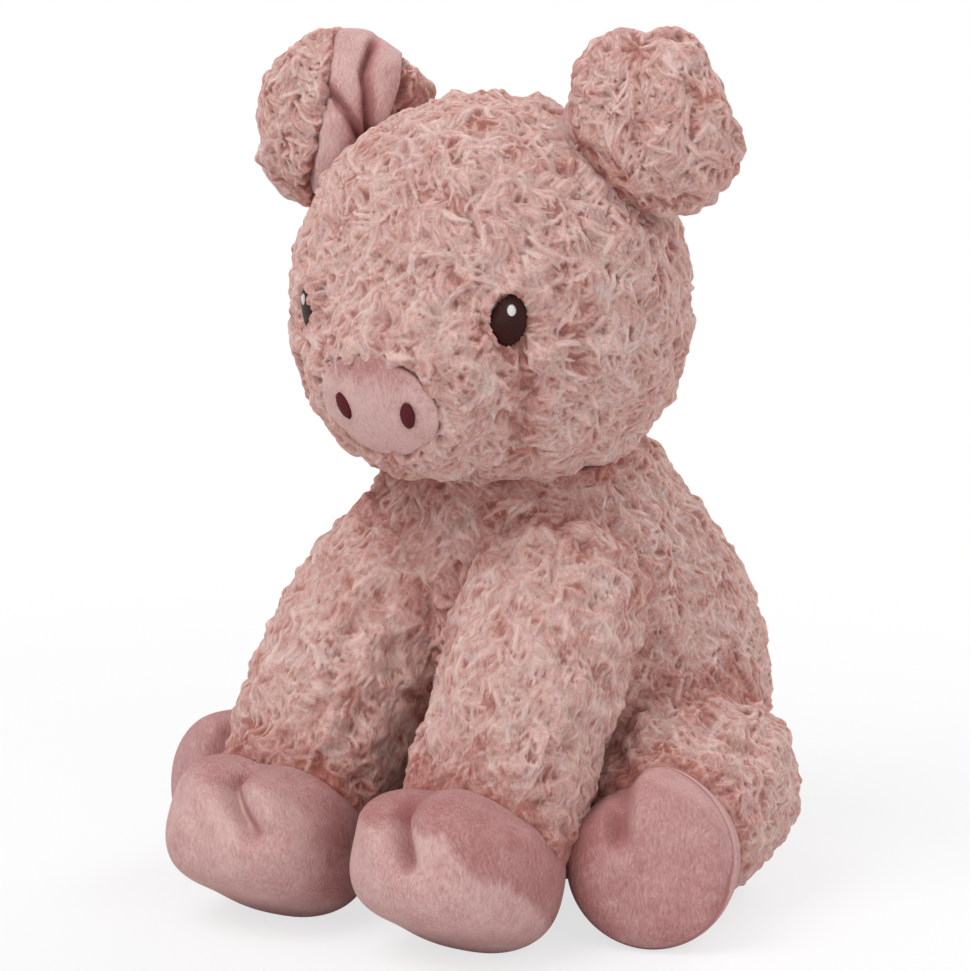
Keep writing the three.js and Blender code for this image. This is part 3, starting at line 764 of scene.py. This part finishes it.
class Finish(Nodes):
    """A material and the nodes that make it."""

    def __init__(self, name):
        self.material = bpy.data.materials.new(name)
        super().__init__(self.material)
        self.shader = self.tree.nodes["Principled BSDF"]

    def sockets(self, **values):
        """Sets or links the shader's sockets, with a low line for each space in their names."""
        for key, value in values.items():
            self.put(value, self.shader.inputs[key.replace("_", " ")])

    def place(self):
        """Object coordinates in millimetres."""
        here = self.node("ShaderNodeTexCoord", {}, {}, "Object")
        return self.node("ShaderNodeVectorMath", {"operation": "SCALE"}, {0: here, "Scale": 1 / MM})

    def swirled(self, here, scale, push, stretch):
        """Places pushed about in swirls, then scaled. Streaks run where the scale is least."""
        warp = self.node("ShaderNodeTexNoise", {}, {"Vector": here, "Scale": scale, "Detail": 1.0}, 1)
        warp = self.node("ShaderNodeVectorMath", {"operation": "MULTIPLY_ADD"}, {0: warp, 1: (push,) * 3, 2: here})
        return self.node("ShaderNodeMapping", {}, {"Vector": warp, "Scale": stretch})

    def noise(self, vector, scale, detail, roughness):
        values = {"Vector": vector, "Scale": scale, "Detail": detail, "Roughness": roughness}
        return self.node("ShaderNodeTexNoise", {}, values)

    def nap(self):
        """How pale the pile is, as the mesh carries it: its own tone and brushing, with painted shade and painted
        highlights in it.
        """
        return self.node("ShaderNodeAttribute", {"attribute_name": NAP_AND_PAINTED_SHADE}, {}, "Fac")

    def strand(self):
        """Where a place is across and along its lock, as the mesh carries it."""
        return self.node("ShaderNodeAttribute", {"attribute_name": STRAND}, {}, "Vector")

    def ramp(self, shade, *stops):
        return self.node("ShaderNodeValToRGB", {"stops": stops}, {0: shade})

    def mix(self, factor, first, second):
        return self.node("ShaderNodeMix", {"data_type": "RGBA"}, {0: factor, 6: first, 7: second}, 2)

    def bump(self, height, strength, distance):
        values = {"Height": height, "Strength": strength, "Distance": distance * MM}
        return self.node("ShaderNodeBump", {}, values)


def curly_finish(name, gap, root, mid, tip):
    """Curly pile: painted shade deep between the locks and pale on them, with fibres along each lock, and paler from
    place to place in streaks that swirl and in patches."""
    f = Finish(name)
    fine = f.noise(f.place(), 1.1, 3.0, 0.6)
    fibre = f.noise(f.strand(), 1.7, 1.0, 0.6)
    here = f.place()
    streak = f.noise(f.swirled(here, 0.11, 22, (0.5, 0.5, 0.15)), 1.0, 3.0, 0.6)
    patch = f.noise(here, 0.13, 2.0, 0.6)
    shade = ((streak - 0.5) * 1.5 + (patch - 0.5) * 0.9) * 0.45 + f.nap() * 0.85
    shade = (shade + (fibre - 0.5) * 0.75 + (fine - 0.5) * 0.25 + 0.09).clip()
    f.sockets(
        Base_Color=f.ramp(shade, (0.0, gap), (0.3, root), (0.6, mid), (0.95, tip)),
        Normal=f.bump(fibre + fine * 0.4, 0.55, 0.5),
        Roughness=0.95, Specular_IOR_Level=0.1, Subsurface_Weight=0.55, Subsurface_Scale=0.003,
    )
    return f.material


def velour_finish(name, low, mid, high):
    """Short brushed pile: pale where it stands up, dark where it is brushed away, with a grain along the brushing.
    The values that its mesh carries also hold painted shade and painted highlights.
    """
    f = Finish(name)
    here = f.place()
    patch = f.noise(here, 0.13, 2.0, 0.5)
    grain = f.noise(f.swirled(here, 0.09, 7, (1.5, 1.5, 0.42)), 1.0, 3.0, 0.65)
    fine = f.noise(here, 2.2, 2.0, 0.6)
    shade = ((patch - 0.5) * 0.55 + (grain - 0.5) * 1.1 + (fine - 0.5) * 0.4 + f.nap() + 0.04).clip()
    f.sockets(
        Base_Color=f.ramp(shade, (0.1, low), (0.5, mid), (0.9, high)),
        Normal=f.bump(grain + fine * 0.7, 0.75, 0.6),
        Roughness=0.8, Specular_IOR_Level=0.1,
        Sheen_Weight=0.25, Sheen_Roughness=0.4, Sheen_Tint=linear((0.97, 0.86, 0.85)),
    )
    return f.material


def thread_finish(name, low, high, turn, roughness):
    """Satin stitches side by side."""
    f = Finish(name)
    turned = f.node("ShaderNodeMapping", {}, {"Vector": f.place(), "Rotation": turn})
    thread = f.node(
        "ShaderNodeTexWave", {"wave_type": "BANDS", "bands_direction": "Z"},
        {"Vector": turned, "Scale": 0.9, "Distortion": 0.6, "Detail": 1.0},
    )
    f.sockets(
        Base_Color=f.mix(thread, linear(low), linear(high)), Normal=f.bump(thread, 0.6, 0.15),
        Roughness=roughness, Specular_IOR_Level=0.12,
    )
    return f.material


# Settings


def colour_setting(name, description, default):
    return bpy.props.FloatVectorProperty(
        name=name, description=description, default=default, subtype="COLOR_GAMMA", size=3, min=0, max=1
    )


class PigColours(bpy.types.PropertyGroup):
    # The gap and root colours are the pile's own darker tone and also show the painted shade deep among the locks and
    # beside other parts
    curl_gap: colour_setting("Curl gap", "Deep between the locks", (0.63, 0.395, 0.36))
    curl_root: colour_setting("Curl root", "Lower part of a lock", (0.7, 0.512, 0.48))
    curl_mid: colour_setting("Curl", "Middle of a lock", (0.778, 0.634, 0.604))
    curl_tip: colour_setting("Curl tip", "Tip of a lock", (0.848, 0.748, 0.724))
    # The laid and raised velour colours also show painted shade in creases and clefts and painted highlights on
    # ridges
    velour_low: colour_setting("Velour, laid", "Short pile laid away", (0.66, 0.44, 0.43))
    velour_mid: colour_setting("Velour", "Short pile", (0.76, 0.58, 0.57))
    velour_high: colour_setting("Velour, raised", "Short pile that stands up", (0.85, 0.71, 0.69))
    eye: colour_setting("Eye", "Eye thread", (0.18, 0.075, 0.06))
    highlight: colour_setting("Highlight", "Highlight thread", (0.93, 0.92, 0.91))
    nostril: colour_setting("Nostril", "Nostril thread", (0.31, 0.11, 0.13))


class PigPile(bpy.types.PropertyGroup):
    spacing: bpy.props.FloatProperty(
        name="Spacing", description="How far apart the locks of the curly pile stand, 1 as made", subtype="FACTOR",
        default=1.0, min=0.5,
    )


class Shop:
    """Finishes and guides that several operators share, made when they are first asked for."""

    made = {}

    @classmethod
    def get(cls, key, make):
        if key not in cls.made:
            cls.made[key] = make()
        return cls.made[key]


def colours():
    return bpy.context.scene.pig_colours


def curly_material():
    c = colours()
    return Shop.get("curls", lambda: curly_finish("curly pile", c.curl_gap, c.curl_root, c.curl_mid, c.curl_tip))


def velour_material():
    c = colours()
    return Shop.get("velour", lambda: velour_finish("short plush", c.velour_low, c.velour_mid, c.velour_high))


def guide(name):
    """The guide of that name, such as torso or arm_left."""
    forms = {"torso": torso_form, "head": head_form}
    for side, sign in SIDES:
        forms[f"arm_{side}"] = sided(arm_form, sign)
        forms[f"thigh_{side}"] = sided(thigh_form, sign)
        forms[f"ear_{side}"] = sided(ear_form(sign), sign)
        forms[f"front_trotter_{side}"] = sided(trotter_form(CLEFTS[sign]), sign)
        forms[f"hind_trotter_{side}"] = sided(hind_trotter_form, sign)
    return Shop.get(f"guide {name}", lambda: Guide(name, forms[name]))


# Operators

# The widths, in millimetres, over which one cloth flows into another
SHOULDER_FLOW, HIP_FLOW, NECK_FLOW, TOUCH_FLOW, ANKLE_FLOW = 26, 9, 8, 3, 2


class PIG_OT_torso(bpy.types.Operator):
    """Makes the body's cloth and its curly pile"""

    bl_idname = "pig.torso"
    bl_label = "Torso"

    def execute(self, context):
        others = [
            (guide("arm_left"), SHOULDER_FLOW), (guide("arm_right"), SHOULDER_FLOW),
            (guide("thigh_left"), HIP_FLOW), (guide("thigh_right"), HIP_FLOW), (guide("head"), NECK_FLOW),
        ]
        cloth = curly_cloth("torso_cloth", torso_form, guide("torso"), others, (0, 0, -1), 100, 8)
        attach(cloth, "torso")
        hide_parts("torso_skin", "torso_stuffing")
        return {"FINISHED"}


class PIG_OT_head(bpy.types.Operator):
    """Makes the head's cloth and its curly pile"""

    bl_idname = "pig.head"
    bl_label = "Head"

    def execute(self, context):
        snout = face_patch(0, MUZZLE_DROP, SNOUT_SIZE[0] - 2.5, SNOUT_SIZE[1] - 2.5)
        left_eye, right_eye = (face_patch(sign * EYE_SIDE, EYE_DROP, *EYE_SIZE) for sign in (1, -1))

        def keep(places):
            """All but the places under the snout disc and the eyes."""
            ragged = 0.1 * waves(places, 5, 34)[:, 0]
            on_eyes = (left_eye.reach(places) <= 1) | (right_eye.reach(places) <= 0.9)
            return ~(on_eyes | (snout.reach(places) + ragged <= 1))

        def change(locks):
            """Turns the locks off the disc and the eyes, raises them beside these, and paints shade along the chin's
            seam below the muzzle, with a painted highlight on the muzzle's edge above it.
            """
            disc_edge = 0.9 - 0.2 * smooth(2, 12, (locks.roots - snout.middle) @ snout.up)
            for patch, edge in ((snout, disc_edge), (left_eye, 0.97), (right_eye, 0.5)):
                tips = locks.roots + locks.lay * (locks.length * 0.8)[:, None]
                over = patch.reach(tips) < edge
                out = unit(locks.roots - patch.middle)
                turn = np.maximum(0, -(locks.lay * out).sum(1))
                locks.lay = locks.lay + out * (turn * 1.6 * over)[:, None]
                locks.length = np.where(over, locks.length * 0.75, locks.length)
            locks.rise += 0.9 * bell(snout.reach(locks.roots) - 1.15, 0.25)
            for sign, eye, rise, start in ((1, left_eye, 1.5, 1), (-1, right_eye, 3.4, 0)):
                gap = locks.roots - eye.middle
                inner = -(gap @ eye.across) * sign
                locks.rise += rise * smooth(start, start + 5, inner) * bell(np.linalg.norm(gap, axis=1) - 8.5, 3.2)
            way = unit(locks.roots - HEAD_CENTRE)
            angle = np.degrees(np.arccos(np.clip(way @ muzzle_axis, -1, 1)))
            # painted shade just outside the muzzle's edge, where it overhangs the chin's seam, and a painted
            # highlight just inside it, low on the face
            seam = 0.1 * bell(angle - 31, 3.0) - 0.25 * bell(angle - 37.5, 3.0)
            locks.tint += seam * smooth(0.02, -0.3, way[:, 2])
            locks.settle()

        cloth = curly_cloth("head_cloth", head_form, guide("head"), [], (0, 0, -1), 200, 8, keep, change)
        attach(cloth, "head")
        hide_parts("head_skin", "head_stuffing")
        return {"FINISHED"}


def button(patch, proud, sink, ragged=0.0, seed=0, curve=45.0, egg=0.0, power=2.0):
    """The form of a low dome on a patch of the face. It follows the face's curve, egg narrows it at the top, and its
    stitched edge is slightly ragged."""

    def surface(way, grow=0.0):
        angle = np.arctan2(way[:, 1], way[:, 0])
        flat = np.hypot(way[:, 0], way[:, 1])
        rng = np.random.default_rng(seed)
        rough = sum(np.sin(angle * n + rng.uniform(0, 6.3)) for n in (19, 27, 34, 45)) / 4 * ragged
        reach = flat * (1 + rough * flat ** 4)
        x, y = np.cos(angle) * reach * patch.half[0], np.sin(angle) * reach * patch.half[1]
        x = x * (1 - egg * way[:, 1])
        rise = np.sign(way[:, 2]) * np.abs(way[:, 2]) ** (2 / power) * np.where(way[:, 2] > 0, proud, sink)
        return patch.place(x, y, rise - (x * x + y * y) / (2 * curve))

    return surface


NOSTRIL_HALF = (2.1, 4.0)
NOSTRIL_TILT = 0.12
EYE_ROLL = 16
HIGHLIGHT_HALF = (1.2, 1.65)


class PIG_OT_face(bpy.types.Operator):
    """Makes the snout disc, the embroidered nostrils, the eyes and their highlights"""

    bl_idname = "pig.face"
    bl_label = "Face"

    def execute(self, context):
        dark, white, red = (np.array(c) for c in (colours().eye, colours().highlight, colours().nostril))
        eye_thread = thread_finish("eye thread", dark * 0.75, dark * 1.35, (0.3, 0.5, 0.4), 0.35)
        white_thread = thread_finish("highlight thread", white * 0.86, white, (0.2, 0.4, 0.1), 0.5)
        nose_thread = thread_finish("nostril thread", red * 0.8, red * 1.35, (0, 1.5, 0), 0.6)

        snout = face_patch(0, MUZZLE_DROP, *SNOUT_SIZE)
        snout.roll(-5)
        form = button(snout, 1.4, 4, curve=SNOUT_CURVE, power=2.8)
        # painted shade: the disc is darker towards its top, under the fur that overhangs it
        disc = velour("snout_disc_velour", shaped("snout", form, 7),
                      lambda places: 0.76 - 0.5 * smooth(5, 15, (places - snout.middle) @ snout.up))
        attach(disc, "head")
        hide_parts("snout_disc")
        for side, sign in SIDES:
            middle = snout.middle + snout.across * (sign * NOSTRIL_SPACING / 2 + 0.8) + snout.up * 0.2
            tilt = sign * NOSTRIL_TILT
            hole = Patch(middle + snout.out * 0.8, unit(snout.out + snout.across * tilt), NOSTRIL_HALF)
            hole.across, hole.up = unit(hole.across - hole.up * tilt), unit(hole.up + hole.across * tilt)
            form = button(hole, 0.9, 1.5, 0.12, 4 + sign, 30)
            made = piece(f"nostril_{side}_thread", shaped("nostril", form, 5), nose_thread)
            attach(made, "head")
            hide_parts(f"nostril_{side}")
            eye = face_patch(sign * EYE_SIDE, EYE_DROP, *EYE_SIZE)
            eye.roll(-EYE_ROLL * sign)
            form = button(eye, 1.4, 2.5, 0.08, 7 + sign, 45, 0.14)
            made = piece(f"eye_{side}_thread", shaped("eye", form, 6), eye_thread)
            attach(made, "head")
            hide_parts(f"eye_{side}")
            spot = Patch(eye.middle + eye.up * 3.0 + eye.out * 1.05, eye.out, HIGHLIGHT_HALF)
            form = button(spot, 0.6, 1, 0.22, 9 + sign, 45)
            made = piece(f"eye_highlight_{side}_thread", shaped("highlight", form, 5), white_thread)
            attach(made, "head")
            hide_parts(f"eye_highlight_{side}")
        return {"FINISHED"}


class PIG_OT_front_legs(bpy.types.Operator):
    """Makes the front legs' cloth and their curly pile"""

    bl_idname = "pig.front_legs"
    bl_label = "Front legs"

    def execute(self, context):
        for (side, sign), seed in zip(SIDES, (300, 400)):
            other = "right" if side == "left" else "left"
            others = [
                (guide("torso"), SHOULDER_FLOW), (guide(f"arm_{other}"), TOUCH_FLOW), (guide("head"), NECK_FLOW),
                (guide(f"front_trotter_{side}"), ANKLE_FLOW),
            ]
            form = sided(arm_form, sign)
            cloth = curly_cloth(f"front_leg_{side}_cloth", form, guide(f"arm_{side}"), others, (0, -0.3, -1), seed, 7)
            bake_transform(cloth)
            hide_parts(f"front_leg_skin_{side}", f"front_leg_stuffing_{side}")
        return {"FINISHED"}


class PIG_OT_hind_legs(bpy.types.Operator):
    """Makes the hind legs' cloth and their curly pile"""

    bl_idname = "pig.hind_legs"
    bl_label = "Hind legs"

    def execute(self, context):
        for (side, sign), seed in zip(SIDES, (500, 600)):
            others = [
                (guide("torso"), HIP_FLOW), (guide(f"arm_{side}"), TOUCH_FLOW),
                (guide(f"hind_trotter_{side}"), ANKLE_FLOW),
            ]
            form, comb = sided(thigh_form, sign), (sign * 0.3, -0.3, -0.8)
            cloth = curly_cloth(f"hind_leg_{side}_cloth", form, guide(f"thigh_{side}"), others, comb, seed, 7)
            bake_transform(cloth)
            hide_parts(f"hind_leg_skin_{side}", f"hind_leg_stuffing_{side}")
        return {"FINISHED"}


class PIG_OT_ears(bpy.types.Operator):
    """Makes the folded ears, curly outside and lined with short plush"""

    bl_idname = "pig.ears"
    bl_label = "Ears"

    def execute(self, context):
        for (side, sign), seed in zip(SIDES, (700, 800)):
            body = f"ear_{side}"
            fold = 15.0 if sign > 0 else 0.0
            form, lined = sided(ear_form(sign), sign), sided(lining_form(sign, fold), sign)

            def keep(places, sign=sign, fold=fold):
                """All but the lining, up to its ragged edge."""
                across, up, ahead = ear_plane(places * (sign, 1, 1))
                ragged = 2.2 + 1.8 * waves(places, 6, 33)[:, 0]
                return (within(across - fold, up, EAR_REGION) < ragged) | (ahead < -3)

            others = [(guide("head"), TOUCH_FLOW)]
            cloth = curly_cloth(
                f"ear_{side}_cloth", form, guide(f"ear_{side}"), others, (0, 0, -1), seed, 7, keep, sink=6)
            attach(cloth, body)
            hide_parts(f"ear_{side}")
            lining = velour(f"ear_lining_{side}_cloth", shaped("lining", lined, 7), lining_painted_shade(sign, fold))
            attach(lining, body)
            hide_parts(f"ear_lining_{side}")
        return {"FINISHED"}


def front_nap_and_shade(side):
    """Pale on the toes and low down, though painted shade darkens it a little towards the floor; painted shade deep
    in the cleft and a painted highlight on the ridge beside it; and redder above a curved line where the pile is
    brushed.
    """
    (upper, _), (lower, _) = CLEFTS[side]
    cleft_z = 36 if side > 0 else 37

    def nap(places):
        x, y, z = places[:, 0] * side, places[:, 1], places[:, 2]
        if side > 0:
            line = 40.5 - 1.25 * np.clip(x - 43, 0, 10) - 0.7 * np.maximum(0, y + 117)
            above = smooth(-2.2, 1.8, z - (line + 0.35 * waves(places, 3.2, 21)[:, 0]))
        else:
            above = 0.6 * smooth(-3, 3, z - (44 - 0.9 * np.maximum(0, y + 122)))
            above = np.maximum(above, 0.9 * smooth(-119, -105, y) * smooth(15, 7, x))
        front = y < -105
        off = x - (FRONT_TROTTER_MIDDLE[0] + lower + (upper - lower) * np.clip((z - cleft_z + 4) / 8, 0, 1.3))
        cleft = bell(off, 2.6) * smooth(28, 33, z) * smooth(46, 40, z) * front
        ridge = bell(off - 6, 4) * smooth(26, 34, z) * smooth(44, 38, z) * front
        return 0.64 - 0.1 * smooth(25, 5, z) - 0.45 * above - 0.6 * cleft + 0.18 * ridge

    return nap


def hind_tone_and_shade(side):
    """Deeper on the inner toe, towards the inner side and along the seam, painted shade in the cleft, pale on the rim
    behind the seam, and paler higher up as painted light from above.
    """

    def nap(places):
        across, up, _, past = hind_places(places * (side, 1, 1))
        rim = smooth(14, 19, np.hypot(across, up))
        toe = smooth(5, 10, across) * smooth(0, 12, up)
        cleft = bell(across - 7, 2.2) * smooth(2, 14, up)
        edge = smooth(8, 21, across)
        pale = 0.3 + 0.12 * smooth(5, 32, places[:, 2]) - 0.25 * toe - 0.35 * cleft - 0.3 * edge
        behind = smooth(-0.8, -2, past) * smooth(-6, -4, past)
        return pale - 0.55 * bell(past, 0.7) * rim + 0.2 * behind * rim

    return nap


class PIG_OT_trotters(bpy.types.Operator):
    """Makes the four trotters and their soles"""

    bl_idname = "pig.trotters"
    bl_label = "Trotters"

    def execute(self, context):
        for side, sign in SIDES:
            form = sided(trotter_form(CLEFTS[sign]), sign)
            foot = velour(f"front_trotter_{side}", shaped("trotter", form, 7), front_nap_and_shade(sign))
            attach(foot, f"front_leg_{side}")
            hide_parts(f"front_trotter_upper_{side}", f"front_trotter_sole_{side}")
            form = sided(hind_trotter_form, sign)
            foot = velour(f"hind_trotter_{side}", shaped("trotter", form, 7), hind_tone_and_shade(sign))
            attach(foot, f"hind_leg_{side}")
            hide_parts(f"hind_trotter_upper_{side}", f"hind_trotter_sole_{side}")
        return {"FINISHED"}


class PIG_OT_tail(bpy.types.Operator):
    """Makes the curly tail"""

    bl_idname = "pig.tail"
    bl_label = "Tail"

    def execute(self, context):
        tail = velour("tail_cloth", shaped("tail", tail_form, 5))
        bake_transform(tail)
        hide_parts("tail")
        return {"FINISHED"}


# Each lamp's name, place and size in metres, and power in watts
LAMPS = (
    ("key", (-0.25, -1.0, 1.35), 0.9, 14.2),
    ("fill", (1.3, -0.7, 0.8), 1.2, 4.5),
    ("rim", (0.3, 1.2, 1.1), 1.0, 9.5),
)
LAMPS_AIM = Vector((0, -0.02, 0.12))
SKY_STRENGTH = 0.5
FLOOR_COLOUR = (0.86, 0.86, 0.86, 1)
CAMERA_PLACE = (0.4432, -0.7378, 0.2396)
CAMERA_TURN, CAMERA_TILT = math.radians(32.3), math.radians(8.3)
CAMERA_LENS = 106.9


def floor_material():
    """White as the camera sees it, and whiter far from the pig, so that only soft shadows show."""
    f = Finish("floor")
    f.sockets(Roughness=0.9, Specular_IOR_Level=0.0, Base_Color=FLOOR_COLOUR)
    here = f.node("ShaderNodeTexCoord", {}, {}, "Object")
    away = f.node("ShaderNodeVectorMath", {"operation": "LENGTH"}, {0: here}, 1)
    limits = {0: away, 1: 0.2, 2: 0.55, 3: 0.72, 4: 1.0}
    bare = f.node("ShaderNodeMapRange", {"interpolation_type": "SMOOTHSTEP"}, limits)
    seen = f.node("ShaderNodeLightPath", {}, {}, "Is Camera Ray") * bare
    white = f.node("ShaderNodeEmission", {}, {"Color": WHITE, "Strength": 1.0})
    both = f.node("ShaderNodeMixShader", {}, {0: seen, 1: Wire(f, f.shader.outputs[0]), 2: white})
    f.put(both, f.tree.nodes["Material Output"].inputs[0])
    return f.material


def studio():
    """A world that lights the pig softly, and is white to the camera and in reflections."""
    world = bpy.data.worlds.new("studio")
    sky = Nodes(world)
    soft = sky.tree.nodes["Background"]
    sky.put(WHITE, soft.inputs["Color"])
    sky.put(SKY_STRENGTH, soft.inputs["Strength"])
    plain = sky.node("ShaderNodeBackground", {}, {"Color": WHITE})
    camera_ray = sky.node("ShaderNodeLightPath", {}, {}, "Is Camera Ray")
    glossy_ray = sky.node("ShaderNodeLightPath", {}, {}, "Is Glossy Ray")
    clear = sky.node("ShaderNodeMath", {"operation": "MAXIMUM"}, {0: camera_ray, 1: glossy_ray})
    both = sky.node("ShaderNodeMixShader", {}, {0: clear, 1: Wire(sky, soft.outputs[0]), 2: plain})
    sky.put(both, sky.tree.nodes["World Output"].inputs[0])
    return world


class PIG_OT_stage(bpy.types.Operator):
    """Makes the floor, the soft lamps and the camera"""

    bl_idname = "pig.stage"
    bl_label = "Stage"

    def execute(self, context):
        scene = context.scene
        scene.view_settings.view_transform = "Standard"
        scene.world = studio()

        bm = bmesh.new()
        bmesh.ops.create_grid(bm, x_segments=1, y_segments=1, size=6)
        mesh = bpy.data.meshes.new("floor")
        bm.to_mesh(mesh)
        bm.free()
        mesh.materials.append(floor_material())
        floor = bpy.data.objects.new("floor", mesh)
        scene.collection.objects.link(floor)

        for name, place, size, power in LAMPS:
            data = bpy.data.lights.new(name, "AREA")
            data.size, data.energy = size, power
            lamp = bpy.data.objects.new(name, data)
            lamp.location = place
            lamp.rotation_euler = (LAMPS_AIM - Vector(place)).to_track_quat("-Z", "Y").to_euler()
            scene.collection.objects.link(lamp)

        data = bpy.data.cameras.new("camera")
        data.lens = CAMERA_LENS
        data.sensor_width = 36.0
        data.clip_start = 0.01
        camera = bpy.data.objects.new("camera", data)
        a, e = CAMERA_TURN, CAMERA_TILT
        right = (math.cos(a), math.sin(a), 0)
        up = (-math.sin(e) * math.sin(a), math.sin(e) * math.cos(a), math.cos(e))
        back = (math.sin(a) * math.cos(e), -math.cos(a) * math.cos(e), math.sin(e))
        turn = Matrix((right, up, back)).transposed().to_4x4()
        camera.matrix_world = Matrix.Translation(CAMERA_PLACE) @ turn
        scene.collection.objects.link(camera)
        scene.camera = camera
        return {"FINISHED"}


class PIG_PT_panel(bpy.types.Panel):
    """Lists the pieces, the stage and the settings"""

    bl_label = "Plush Pig"
    bl_idname = "PIG_PT_panel"
    bl_space_type = "VIEW_3D"
    bl_region_type = "UI"
    bl_category = "Plush Pig"

    def draw(self, context):
        for operator in OPERATORS:
            self.layout.operator(operator.bl_idname)
        for group in (context.scene.pig_pile, context.scene.pig_colours):
            for name in group.bl_rna.properties.keys():
                if name not in ("name", "rna_type"):
                    self.layout.prop(group, name)


OPERATORS = (
    PIG_OT_stage, PIG_OT_torso, PIG_OT_head, PIG_OT_face, PIG_OT_front_legs, PIG_OT_hind_legs, PIG_OT_ears,
    PIG_OT_trotters, PIG_OT_tail,
)
CLASSES = (PigColours, PigPile, *OPERATORS, PIG_PT_panel)


def register():
    for one in CLASSES:
        bpy.utils.register_class(one)
    bpy.types.Scene.pig_colours = bpy.props.PointerProperty(type=PigColours)
    bpy.types.Scene.pig_pile = bpy.props.PointerProperty(type=PigPile)


def unregister():
    del bpy.types.Scene.pig_pile
    del bpy.types.Scene.pig_colours
    for one in reversed(CLASSES):
        bpy.utils.unregister_class(one)


def main():
    register()
    for operator in OPERATORS:
        group, name = operator.bl_idname.split(".")
        getattr(getattr(bpy.ops, group), name)()


if __name__ == "__main__":
    main()
